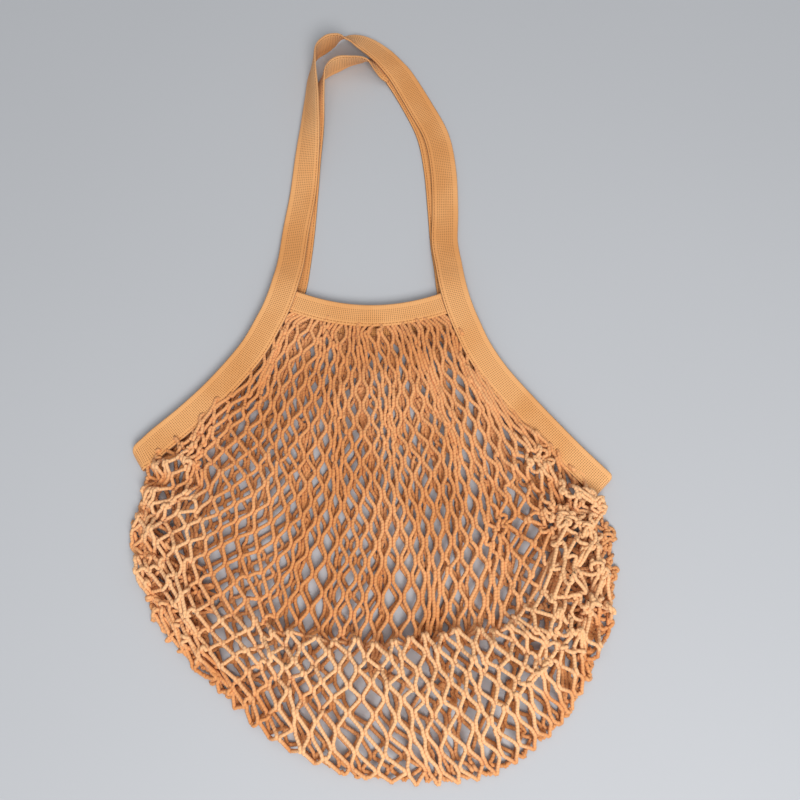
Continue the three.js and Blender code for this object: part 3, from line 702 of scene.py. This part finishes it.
def pleats(row, column):
    """Folds that lie across the heaped sides: along a wale the net swings back and forth and up and down by
    turns, so that it laps over itself."""
    to_side = np.minimum(column, NET_COLUMNS - column)
    beside = (1 - smoothstep(to_side, *PLEAT_COLUMNS)) * smoothstep(row, *PLEAT_ROWS)
    turn = 2 * np.pi * (row - CORNER_ROW) / PLEAT["rows"] + PLEAT["turn"] * to_side
    swing = np.column_stack([np.zeros(len(row)), np.sin(turn), PLEAT["height"] * np.cos(turn)])
    return swing * beside[:, None]


def crease_shift(points, crease):
    """Lift of points near a crease and their pull square to its line. Both fade with the square of distance
    and beyond the line's ends. Gives the shift and the nearness."""
    start = np.array(crease["start"])
    run = np.array(crease["end"]) - start
    share = ((points[:, :2] - start) @ run / (run @ run))[:, None]
    away = start + share * run - points[:, :2]
    beside = smoothstep(share, *crease["begins"]) * (1 - smoothstep(share, *crease["fades"]))
    near = beside * np.exp(-np.sum(away ** 2, axis=1, keepdims=True) / crease["spread"] ** 2)
    return np.hstack([away * near * crease["draw"], near * crease["rise"]]), near


def scatter(count, index, values):
    """Sum of values at each index, axis by axis."""
    return np.stack([np.bincount(index, values[:, n], count) for n in range(values.shape[1])], -1)


def near_pairs(points, reach):
    """Pairs of points nearer than reach, from all distances at once."""
    p = points.astype(np.float32)
    square = sum((p[:, None, n] - p[None, :, n]) ** 2 for n in range(3))
    return np.nonzero(np.triu(square < reach ** 2, 1))


def settle(points, chains, goal, hold, fixed, lowest, highest, link):
    """Yarn at rest: round by round, points go a little way to their goal, links keep their length but give
    when slack, bends straighten, and yarn that lies too close is moved apart. Fixed points stay."""
    count = len(points)
    a, b = chains[:, :-1].ravel(), chains[:, 1:].ravel()
    links = np.bincount(a, minlength=count) + np.bincount(b, minlength=count)
    share = LINK_SPEED / np.maximum(links, 1)[:, None]
    free = (~fixed)[:, None].astype(float)
    bends, before, after = chains[:, 1:-1].ravel(), chains[:, :-2].ravel(), chains[:, 2:].ravel()
    pairs = (np.array([], int), np.array([], int))
    for turn in range(ROUNDS):
        points = points + free * hold * (goal - points)
        run = points[b] - points[a]
        length = np.linalg.norm(run, axis=1, keepdims=True) + 1e-9
        excess = (length - link) / length
        pull = 0.5 * run * np.where(excess < 0, SLACK_GIVE * excess, excess)
        points = points + free * share * (scatter(count, a, pull) - scatter(count, b, pull))
        points[bends] += STRAIGHTEN * ((points[before] + points[after]) / 2 - points[bends])
        if turn % SPACING_EVERY == SPACING_EVERY - 1:
            pairs = near_pairs(points, SPACING)
        run = points[pairs[1]] - points[pairs[0]]
        length = np.linalg.norm(run, axis=1, keepdims=True) + 1e-6
        push = run * SPACING_PUSH * np.maximum(SPACING - length, 0) / length
        points += free * (scatter(count, pairs[1], push) - scatter(count, pairs[0], push))
        points[:, 2] = np.clip(points[:, 2], lowest, highest)
    return points


def joint_lay(net, sizes, lattice, loose, rng):
    """Where the joints are to lie: the net's lay, drawn to the crease, and away from it moved by soft
    drift, bundles, the heaps' hollows and pleats, and each joint's own chance shift. Fixed joints aren't
    moved. Gives also the nearness to the crease."""
    row, column = lattice["row"], lattice["column"]
    lay = net_lay(net, sizes)[row, column]
    creased = np.zeros((len(lay), 1))
    if net["crease"]:
        shift, creased = crease_shift(lay, net["crease"])
        lay = lay + shift
    drift = uneven(lay, rng, DRIFT["waves"], DRIFT["lengths"])
    drift *= np.multiply((1, 1, DRIFT["height"]), DRIFT["size"])
    drift[:, 0] += BUNDLES["size"] * bundles(row, column, rng)
    hollows = uneven(lay, rng, HEAP["waves"], HEAP["lengths"]) * (1, 1, net["hollow"])
    drift += hollows * HEAP["size"] * loose[:, None]
    calm = 1 - RIGHT_CALM * smoothstep(column, *RIGHT_PILE)
    drift += rng.normal(0, net["jitter"], (len(row), 3)) * ((JITTER_LEAST + loose) * calm)[:, None]
    drift += pleats(row, column) * PLEAT["size"]
    return lay + drift * ~lattice["fixed"][:, None] * (1 - creased), creased


def strand_bends(net, sizes, lay, lattice, loose, rng):
    """First place of the strands' bends: evenly along the straight span, swayed by half a sine wave to a
    chance side, the more so the looser and slacker the strand is. At the bottom rim they also bulge out."""
    upper, lower = lay[lattice["upper"]], lay[lattice["lower"]]
    share = np.arange(1, STRAND_BENDS + 1) / (STRAND_BENDS + 1)
    arc = np.sin(np.pi * share)[None, :, None]
    slack = np.clip(1 - np.linalg.norm(lower - upper, axis=1) * MM / sizes.strand, 0, SLACK_MOST)
    swing = 1 + loose[lattice["lower"]] + SLACK_SWAY * slack
    sway = rng.normal(0, net["curl"], (len(upper), 1, 3)) * SWAY_FLAT * swing[:, None, None]
    on_rim = (lattice["row"][lattice["lower"]] == NET_ROWS)[:, None]
    outward = unit((lower - RIM_MIDDLE) * (1, 1, 0)) * on_rim
    straight = upper[:, None] + (lower - upper)[:, None] * share[None, :, None]
    return straight + sway * arc + RIM_BULGE * outward[:, None] * arc


def strand_lengths(net, sizes, lay, lattice, loose, creased):
    """Length of yarn in every strand, millimetres: less where the left heap takes it in and along the rim,
    more at loose spots, and little more than the straight span near the crease."""
    lower = lattice["lower"]
    left = 1 - smoothstep(lattice["column"][lower], *LEFT_DRAW_END)
    share = np.where(lattice["row"][lower] == NET_ROWS, RIM_SHARE, 1 - HEAP_DRAW * loose[lower] * left)
    for x, y, spread, more in net["loose_spots"]:
        far = np.sum((lay[lower, :2] - (x, y)) ** 2, axis=1) / spread ** 2
        share = share * (1 + more * np.exp(-far))
    length = share * sizes.strand / MM
    span = np.linalg.norm(lay[lower] - lay[lattice["upper"]], axis=1)
    return length + creased[lower, 0] * (np.minimum(CREASE["span"] * span, length) - length)


def settled_net(net, sizes):
    """A net's lattice with its joints and strand bends after settling. Only joints are pulled to their lay,
    more firmly at the crease, and yarn rises no more than the net's headroom above the lay."""
    rng = np.random.default_rng(net["seed"])
    lattice = net_lattice()
    upper, lower = lattice["upper"], lattice["lower"]
    loose = heaped(lattice["row"], lattice["column"])
    lay, creased = joint_lay(net, sizes, lattice, loose, rng)
    bends = strand_bends(net, sizes, lay, lattice, loose, rng).reshape(-1, 3)
    length = strand_lengths(net, sizes, lay, lattice, loose, creased)
    points = np.vstack([lay, bends])
    bend_number = len(lay) + np.arange(len(bends)).reshape(-1, STRAND_BENDS)
    chains = np.column_stack([upper, bend_number, lower])
    hold = HOLD * np.vstack([1 + CREASE["hold"] * creased, np.zeros((len(bends), 1))])
    fixed = np.concatenate([lattice["fixed"], np.zeros(len(bends), bool)])
    roof = np.concatenate([lay[:, 2], np.repeat((lay[upper, 2] + lay[lower, 2]) / 2, STRAND_BENDS)])
    link = np.repeat(length / (STRAND_BENDS + 1), STRAND_BENDS + 1)[:, None]
    points = settle(points, chains, points.copy(), hold, fixed, net["lowest"], roof + net["headroom"], link)
    return {**lattice, "joints": points[:len(lay)], "bends": points[len(lay):].reshape(-1, STRAND_BENDS, 3)}


def wale_paths(net, yarn):
    """Yarn paths: each wale zigzags from joint to joint down the net. At a joint it runs beside the next
    wale for a short way, half a yarn to its side; between joints it goes through the strand's bends."""
    row, column, upper, lower = (net[key] for key in ("row", "column", "upper", "lower"))
    joints = net["joints"]
    count = len(joints)

    def mean_where(grid, way):
        """Mean place of the linked joints on one side of each joint, or its own if there are none."""
        total, tally = np.zeros((count, 3)), np.zeros(count)
        for end, other in ((upper, lower), (lower, upper)):
            keep = (grid[other] - grid[end]) * way > 0
            total += scatter(count, end[keep], joints[other[keep]])
            tally += np.bincount(end[keep], minlength=count)
        return np.where(tally[:, None] > 0, total / np.maximum(tally, 1)[:, None], joints)

    beside = unit(mean_where(column, 1) - mean_where(column, -1))
    down = unit(mean_where(row, 1) - mean_where(row, -1))
    strand = np.full((NET_COLUMNS, NET_ROWS), -1)
    strand[np.minimum(column[upper], column[lower]), row[upper]] = np.arange(len(upper))
    paths = []
    for wale in range(NET_COLUMNS):
        rows = np.nonzero(strand[wale] >= 0)[0]
        if len(rows) == 0:
            continue
        rows = np.append(rows, rows[-1] + 1)
        at = np.where((wale + rows) % 2 == 1, wale, wale + 1)
        joint = net["number"][rows, at]
        side = np.where(at == wale, 1.0, -1.0)[:, None]
        middle = joints[joint] + beside[joint] * side * yarn * JOINT_SIDE
        over, under = middle - down[joint] * JOINT_REACH, middle + down[joint] * JOINT_REACH
        between = net["bends"][strand[wale, rows[:-1]]]
        steps = np.concatenate([over[:-1, None], under[:-1, None], between], axis=1).reshape(-1, 3)
        path = np.vstack([steps, over[-1:], joints[joint[-1:]] + down[joint[-1:]] * YARN_END])
        path[:, 2] = np.maximum(path[:, 2], yarn * YARN_LOWEST)
        paths.append(path)
    return paths


def yarn_mesh(name, paths, sizes, material):
    """Round yarn along every path: a ring of corners stands round each point of the smooth path. The place
    map runs along the yarn and once around it."""
    radius = sizes.yarn / MM / 2
    c = np.arange(YARN_SIDES)
    n = (c + 1) % YARN_SIDES
    angle = 2 * np.pi * c[None, :, None] / YARN_SIDES
    points, walls, caps, around, total = [], [], [], [], 0
    for path in paths:
        line = smooth_path(path, np.linspace(0, len(path) - 1, (len(path) - 1) * RINGS_PER_BEND + 1))
        along = unit(np.gradient(line, axis=0))
        side = unit(np.cross(along, UP) + (1e-3, 0, 0))
        above = np.cross(side, along)
        ring = line[:, None] + radius * (np.cos(angle) * side[:, None] + np.sin(angle) * above[:, None])
        start = total + (np.arange(len(line) - 1) * YARN_SIDES)[:, None]
        quads = np.stack([start + c, start + n, start + n + YARN_SIDES, start + c + YARN_SIDES], -1)
        length = np.concatenate([[0], np.cumsum(np.linalg.norm(np.diff(line, axis=0), axis=1))]) * MM
        low, turn = np.broadcast_arrays(length[:-1, None], c[None] / YARN_SIDES)
        high = np.broadcast_to(length[1:, None], low.shape)
        turned = turn + 1 / YARN_SIDES
        place = np.stack([np.stack([low, turn], -1), np.stack([low, turned], -1),
                          np.stack([high, turned], -1), np.stack([high, turn], -1)], 2)
        points.append(ring.reshape(-1, 3))
        walls.append(quads.reshape(-1, 4))
        around.append(place.reshape(-1, 4, 2))
        caps += [total + c[::-1], total + (len(line) - 1) * YARN_SIDES + c]
        total += len(line) * YARN_SIDES
    caps = np.array(caps)
    faces = [np.vstack(walls), caps]
    place = [np.vstack(around), np.zeros((*caps.shape, 2))]
    return piece_mesh(name, np.vstack(points), faces, place, material)


def new_node(tree, kind, inputs=None, **settings):
    """A node with its settings. inputs maps a socket's name or number to a value or a socket to link."""
    node = tree.nodes.new(kind)
    for key, value in settings.items():
        setattr(node, key, value)
    for key, value in (inputs or {}).items():
        if isinstance(value, bpy.types.NodeSocket):
            tree.links.new(value, node.inputs[key])
        else:
            node.inputs[key].default_value = value
    return node


def maths(tree, operation, *values):
    """Output of a math node."""
    return new_node(tree, "ShaderNodeMath", dict(enumerate(values)), operation=operation).outputs[0]


def ramp(tree, value, low, high, to_low=0.0, to_high=1.0):
    """Output that goes smoothly from to_low to to_high as value goes from low to high."""
    inputs = {"Value": value, "From Min": low, "From Max": high, "To Min": to_low, "To Max": to_high}
    return new_node(tree, "ShaderNodeMapRange", inputs, interpolation_type="SMOOTHSTEP").outputs["Result"]


def mixed(tree, factor, a, b):
    """Colour that goes from a to b with the factor."""
    return new_node(tree, "ShaderNodeMix", {0: factor, 6: a, 7: b}, data_type="RGBA").outputs[2]


def noise(tree, place, scale, detail):
    """Value of a noise texture."""
    inputs = {"Vector": place, "Scale": scale, "Detail": detail}
    return new_node(tree, "ShaderNodeTexNoise", inputs).outputs[0]


def new_group(name, inputs, outputs):
    """An empty shader node group with named sockets, and its inner ends."""
    group = bpy.data.node_groups.new(name, "ShaderNodeTree")
    for socket, kind in inputs:
        group.interface.new_socket(socket, in_out="INPUT", socket_type=kind)
    for socket, kind in outputs:
        group.interface.new_socket(socket, in_out="OUTPUT", socket_type=kind)
    return group, group.nodes.new("NodeGroupInput").outputs, group.nodes.new("NodeGroupOutput").inputs


def shaded(colour, shares):
    """A colour with each of its parts multiplied by a share, as a socket's value."""
    return (*(part * share for part, share in zip(colour, shares)), 1)


def fade_and_light_group():
    """Cotton colour over the bag: paler as a painted highlight where it is raised and towards the bottom
    rim and the sides, paler also in random soft patches and fine flecks, and deeper in other patches."""
    group, given, out = new_group(
        "cotton_fade_and_light",
        [("Place", "NodeSocketVector"), ("Base", "NodeSocketColor"), ("Pale", "NodeSocketColor"),
         ("Deep", "NodeSocketColor"), ("Low", "NodeSocketFloat"), ("High", "NodeSocketFloat")],
        [("Colour", "NodeSocketColor")])
    axes = new_node(group, "ShaderNodeSeparateXYZ", {0: given["Place"]}).outputs
    # Painted highlight: the height grows towards the bottom rim and the sides, and the colour pales with
    # height
    rim = maths(group, "MAXIMUM", maths(group, "MULTIPLY_ADD", axes["Y"], *RIM_PAINTED_LIGHT), 0.0)
    sides = maths(group, "MULTIPLY_ADD", maths(group, "ABSOLUTE", axes["X"]), *SIDE_PAINTED_LIGHT)
    height = maths(group, "ADD", axes["Z"], maths(group, "ADD", rim, maths(group, "MAXIMUM", sides, 0.0)))
    raised = ramp(group, height, given["Low"], given["High"])
    patches, flecks = (noise(group, given["Place"], scale, 2.0) for scale in (PATCH_SCALE, FLECK_SCALE))
    # The pale share is the painted highlight plus random soft patches and fine flecks
    pale = maths(group, "ADD", raised, maths(group, "MULTIPLY_ADD", patches, PATCH_SHARE, -PATCH_SHARE / 2))
    pale = maths(group, "SUBTRACT", pale, FLECK_SHARE / 2)
    pale = maths(group, "MULTIPLY_ADD", flecks, FLECK_SHARE, pale)
    pale = new_node(group, "ShaderNodeClamp", {"Value": pale}).outputs[0]
    deep = ramp(group, patches, *DEEPENING)
    colour = mixed(group, deep, given["Base"], given["Deep"])
    group.links.new(mixed(group, pale, colour, given["Pale"]), out["Colour"])
    return group


def weave_group():
    """Woven tape on its own place map: masks of the pinholes between plain borders and of the grooves of
    the crosswise ribs, which carry the painted shade in the tape's colour, and the threads' height."""
    group, given, out = new_group(
        "tape_weave",
        [("Place", "NodeSocketVector"), ("Pitch", "NodeSocketFloat"), ("Width", "NodeSocketFloat"),
         ("Border", "NodeSocketFloat")],
        [("Holes", "NodeSocketFloat"), ("Height", "NodeSocketFloat"), ("Grooves", "NodeSocketFloat")])
    place = new_node(group, "ShaderNodeSeparateXYZ", {0: given["Place"]}).outputs
    turn = maths(group, "DIVIDE", 2 * math.pi, given["Pitch"])
    along = maths(group, "COSINE", maths(group, "MULTIPLY", place["X"], turn))
    across = maths(group, "COSINE", maths(group, "MULTIPLY", place["Y"], turn))
    to_edge = maths(group, "SUBTRACT", given["Width"], place["Y"])
    to_edge = maths(group, "MINIMUM", to_edge, place["Y"])
    inside = new_node(group, "ShaderNodeMapRange", {
        "Value": maths(group, "SUBTRACT", to_edge, given["Border"]),
        "From Min": -BORDER_BLUR, "From Max": BORDER_BLUR})
    spots = maths(group, "MULTIPLY", ramp(group, along, *PINHOLE_SPAN), ramp(group, across, *PINHOLE_SPAN))
    holes = maths(group, "MULTIPLY", spots, inside.outputs["Result"])
    grooves = ramp(group, along, *GROOVE_SPAN)
    fine = maths(group, "MULTIPLY", maths(group, "MULTIPLY", place["Y"], turn), FINE_THREADS)
    fine = maths(group, "COSINE", fine)
    height = maths(group, "MULTIPLY_ADD", fine, FINE_SHARE, maths(group, "SUBTRACT", 1.0, holes))
    height = maths(group, "MULTIPLY_ADD", grooves, -GROOVE_SHARE, height)
    for name, value in (("Holes", holes), ("Height", height), ("Grooves", grooves)):
        group.links.new(value, out[name])
    return group


def cloth_material(name, cloth):
    """A cotton material with its shader, and the sockets that place patterns on it."""
    material = bpy.data.materials.new(name)
    material.use_nodes = True
    tree = material.node_tree
    tree.nodes.clear()
    shader = new_node(tree, "ShaderNodeBsdfPrincipled", {
        "Roughness": cloth["roughness"], "Sheen Weight": cloth["sheen"], "Sheen Roughness": 0.5,
        "Specular IOR Level": 0.25})
    output = tree.nodes.new("ShaderNodeOutputMaterial")
    tree.links.new(shader.outputs["BSDF"], output.inputs["Surface"])
    place = new_node(tree, "ShaderNodeUVMap", uv_map="weave").outputs["UV"]
    whole = tree.nodes.new("ShaderNodeTexCoord").outputs["Object"]
    return material, tree, shader, place, whole


def placed_group(tree, name, make, inputs):
    """Outputs of a shared node group placed in a material. The group is made when first asked for."""
    group = bpy.data.node_groups.get(name) or make()
    return new_node(tree, "ShaderNodeGroup", inputs, node_tree=group).outputs


def faded_and_lit(tree, whole, tones, cloth):
    """Cotton colour over the bag from its base, pale and deep tone: a painted highlight where it is raised
    and towards the bottom rim and the sides, and random patches.
    """
    (base, pale, deep), (low, high) = tones, cloth["pale"]
    return placed_group(tree, "cotton_fade_and_light", fade_and_light_group, {
        "Place": whole, "Base": base, "Pale": pale, "Deep": deep, "Low": low, "High": high})["Colour"]


def cover(tree, shader, colour, fibres, pattern, cloth):
    """Gives a cloth its colour, and a relief from fibres on a pattern's height."""
    height = maths(tree, "MULTIPLY_ADD", fibres, cloth["fibres"], pattern)
    bump = new_node(tree, "ShaderNodeBump", {
        "Height": height, "Strength": cloth["relief"], "Distance": RELIEF_DEPTH})
    tree.links.new(colour, shader.inputs["Base Color"])
    tree.links.new(bump.outputs["Normal"], shader.inputs["Normal"])


def two_tones(tree, shader, place, colour, paint):
    """Gives a surface a colour that goes to a darker tone and back from place to place."""
    tone = noise(tree, place, paint["scale"], 1.0)
    dark = shaded(colour, [paint["dark"]] * 3)
    tree.links.new(mixed(tree, tone, (*colour, 1), dark), shader.inputs["Base Color"])


def tape_material(name, width, sizes, colours):
    """Woven cotton tape: colour with a painted highlight where raised, painted shade in the pinholes and
    the grooves between ribs, fluffy fibres, and their relief.
    """
    material, tree, shader, place, whole = cloth_material(name, TAPE_CLOTH)
    tones = [(*tone, 1) for tone in (colours.tape, colours.tape_highlight_and_fade, colours.tape_deep)]
    colour = faded_and_lit(tree, whole, tones, TAPE_CLOTH)
    weave = placed_group(tree, "tape_weave", weave_group, {
        "Place": place, "Pitch": sizes.weave, "Width": width, "Border": sizes.border})
    # Painted shade: the pinholes and the grooves between ribs are darkened towards the deep tone
    for part, (shade, share) in TAPE_CLOTH["dark"].items():
        shown = maths(tree, "MULTIPLY", weave[part], share)
        colour = mixed(tree, shown, colour, shaded(colours.tape_deep, shade))
    fibres = noise(tree, place, TAPE_CLOTH["scale"], 3.0)
    cover(tree, shader, colour, fibres, weave["Height"], TAPE_CLOTH)
    return material


def yarn_material(name, tone, twist, colours):
    """Twisted cotton yarn: colour with a painted highlight where raised, painted shade in the grooves
    between the plies, and fine fibres along them. The tone scales all three colours; the back net's lower
    tone is painted shade.
    """
    material, tree, shader, place, whole = cloth_material(name, YARN_CLOTH)
    tones = [shaded(colour, [tone] * 3) for colour in (colours.yarn, colours.yarn_highlight_and_fade, colours.yarn_deep)]
    around = new_node(tree, "ShaderNodeSeparateXYZ", {0: place}).outputs
    turned = maths(tree, "MULTIPLY_ADD", around["X"], 1 / twist, around["Y"])
    plies = maths(tree, "COSINE", maths(tree, "MULTIPLY", turned, 2 * math.pi))
    # Painted shade in the grooves between the plies
    groove = ramp(tree, plies, *YARN_CLOTH["grows"])
    dark = shaded(tones[-1], [YARN_CLOTH["dark"]] * 3)
    colour = mixed(tree, groove, faded_and_lit(tree, whole, tones, YARN_CLOTH), dark)
    drawn = new_node(tree, "ShaderNodeMapping", {"Vector": place, "Scale": YARN_CLOTH["scale"]}).outputs[0]
    cover(tree, shader, colour, noise(tree, drawn, 1.0, 3.0), plies, YARN_CLOTH)
    return material


def thread_material(colours):
    """Sewing thread: a darker cotton with slight changes of tone from stitch to stitch."""
    material, tree, shader, _, whole = cloth_material("sewing_thread", THREAD_CLOTH)
    two_tones(tree, shader, whole, colours.thread, THREAD_CLOTH)
    return material


def floor_material(colours):
    """Matt paint for the floor, with a faint change of tone."""
    material = bpy.data.materials.new("floor_paint")
    material.use_nodes = True
    tree = material.node_tree
    shader = tree.nodes["Principled BSDF"]
    shader.inputs["Roughness"].default_value = FLOOR_PAINT["roughness"]
    place = tree.nodes.new("ShaderNodeTexCoord").outputs["Object"]
    two_tones(tree, shader, place, colours.floor, FLOOR_PAINT)
    return material


def settings():
    """The scene's sizes and colours."""
    scene = bpy.context.scene
    return scene.bag_sizes, scene.bag_colours


def dress(piece, node):
    """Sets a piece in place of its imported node."""
    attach(piece, "root")
    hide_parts(node)


def sewn_tapes(kind, sewing, width, runs):
    """Makes the back and the front tape of a kind, each with a row of stitches along its sewn edge."""
    sizes, colours = settings()
    cotton = tape_material(f"{kind}_cotton", width, sizes, colours)
    thread = bpy.data.materials.get("sewing_thread") or thread_material(colours)
    for side, run in zip(("back", "front"), runs):
        tape, length = tape_mesh(f"{side}_{kind}", run, width / MM, sizes, cotton)
        stitches = stitch_mesh(f"{side}_{sewing}", run, width / MM, sizes, thread)
        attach(stitches, "root")
        dress(tape, f"{kind}_{side}")


class BAG_OT_handle_tapes(bpy.types.Operator):
    """Makes both handle tapes with their sewing"""

    bl_idname = "bag.handle_tapes"
    bl_label = "Handle Tapes"

    def execute(self, context):
        front = front_tape_run()
        back = whole_tape(back_tape_table(front))
        sewn_tapes("handle_tape", "handle_stitches", context.scene.bag_sizes.tape, (back, front))
        return {"FINISHED"}


class BAG_OT_mouth_bands(bpy.types.Operator):
    """Makes both mouth bands with their sewing"""

    bl_idname = "bag.mouth_bands"
    bl_label = "Mouth Bands"

    def execute(self, context):
        back, front = band_run(BACK_BAND), band_run(FRONT_BAND)
        sewn_tapes("mouth_band", "band_stitches", context.scene.bag_sizes.band, (back, front))
        return {"FINISHED"}


class BAG_OT_nets(bpy.types.Operator):
    """Settles both nets and makes their yarn"""

    bl_idname = "bag.nets"
    bl_label = "Nets"

    def execute(self, context):
        sizes, colours = settings()
        for side, net in (("back", BACK_NET), ("front", FRONT_NET)):
            paths = wale_paths(settled_net(net, sizes), sizes.yarn / MM)
            cotton = yarn_material(f"{side}_yarn", net["tone"], sizes.lay, colours)
            piece = yarn_mesh(f"{side}_net", paths, sizes, cotton)
            dress(piece, f"net_{side}")
        return {"FINISHED"}


class BAG_OT_stage(bpy.types.Operator):
    """Makes the floor, the soft lights and the camera above the bag"""

    bl_idname = "bag.stage"
    bl_label = "Stage"

    def execute(self, context):
        _, colours = settings()
        scene = context.scene
        half = FLOOR_SIDE / 2
        mesh = bpy.data.meshes.new("floor")
        corners = [(-half, -half, 0), (half, -half, 0), (half, half, 0), (-half, half, 0)]
        mesh.from_pydata(corners, [], [(0, 1, 2, 3)])
        mesh.materials.append(floor_material(colours))
        floor = bpy.data.objects.new("floor", mesh)
        floor.location.z = -FLOOR_DROP
        scene.collection.objects.link(floor)
        for name, place, side, power in LAMPS:
            light = bpy.data.lights.new(name, "AREA")
            light.size = side
            light.energy = power
            lamp = bpy.data.objects.new(name, light)
            lamp.location = place
            lamp.rotation_euler = (-lamp.location).to_track_quat("-Z", "Y").to_euler()
            scene.collection.objects.link(lamp)
        world = bpy.data.worlds.new("studio")
        world.use_nodes = True
        sky = world.node_tree.nodes["Background"].inputs
        sky["Color"].default_value = SKY_COLOUR
        sky["Strength"].default_value = SKY_STRENGTH
        scene.world = world
        lens = bpy.data.cameras.new("camera")
        lens.lens = LENS
        lens.sensor_width = SENSOR
        camera = bpy.data.objects.new("camera", lens)
        camera.location = CAMERA_PLACE
        camera.rotation_euler = (math.radians(CAMERA_TILT), 0, 0)
        scene.collection.objects.link(camera)
        scene.camera = camera
        scene.view_settings.view_transform = "Standard"
        return {"FINISHED"}


class BAG_PT_sidebar(bpy.types.Panel):
    """Lists the bag's pieces, sizes and colours"""

    bl_label = "Net Bag"
    bl_space_type = "VIEW_3D"
    bl_region_type = "UI"
    bl_category = "Net Bag"

    def draw(self, context):
        for operator in OPERATORS:
            self.layout.operator(operator.bl_idname)
        for group in (context.scene.bag_sizes, context.scene.bag_colours):
            box = self.layout.box()
            for name in group.__annotations__:
                box.prop(group, name)


OPERATORS = (BAG_OT_handle_tapes, BAG_OT_mouth_bands, BAG_OT_nets, BAG_OT_stage)
CLASSES = (BagSizes, BagColours, *OPERATORS, BAG_PT_sidebar)


def register():
    for kind in CLASSES:
        bpy.utils.register_class(kind)
    bpy.types.Scene.bag_sizes = PointerProperty(type=BagSizes)
    bpy.types.Scene.bag_colours = PointerProperty(type=BagColours)


def unregister():
    del bpy.types.Scene.bag_colours
    del bpy.types.Scene.bag_sizes
    for kind in reversed(CLASSES):
        bpy.utils.unregister_class(kind)


def main():
    """Makes the bag and its stage."""
    register()
    bpy.ops.bag.handle_tapes()
    bpy.ops.bag.mouth_bands()
    bpy.ops.bag.nets()
    bpy.ops.bag.stage()


if __name__ == "__main__":
    main()
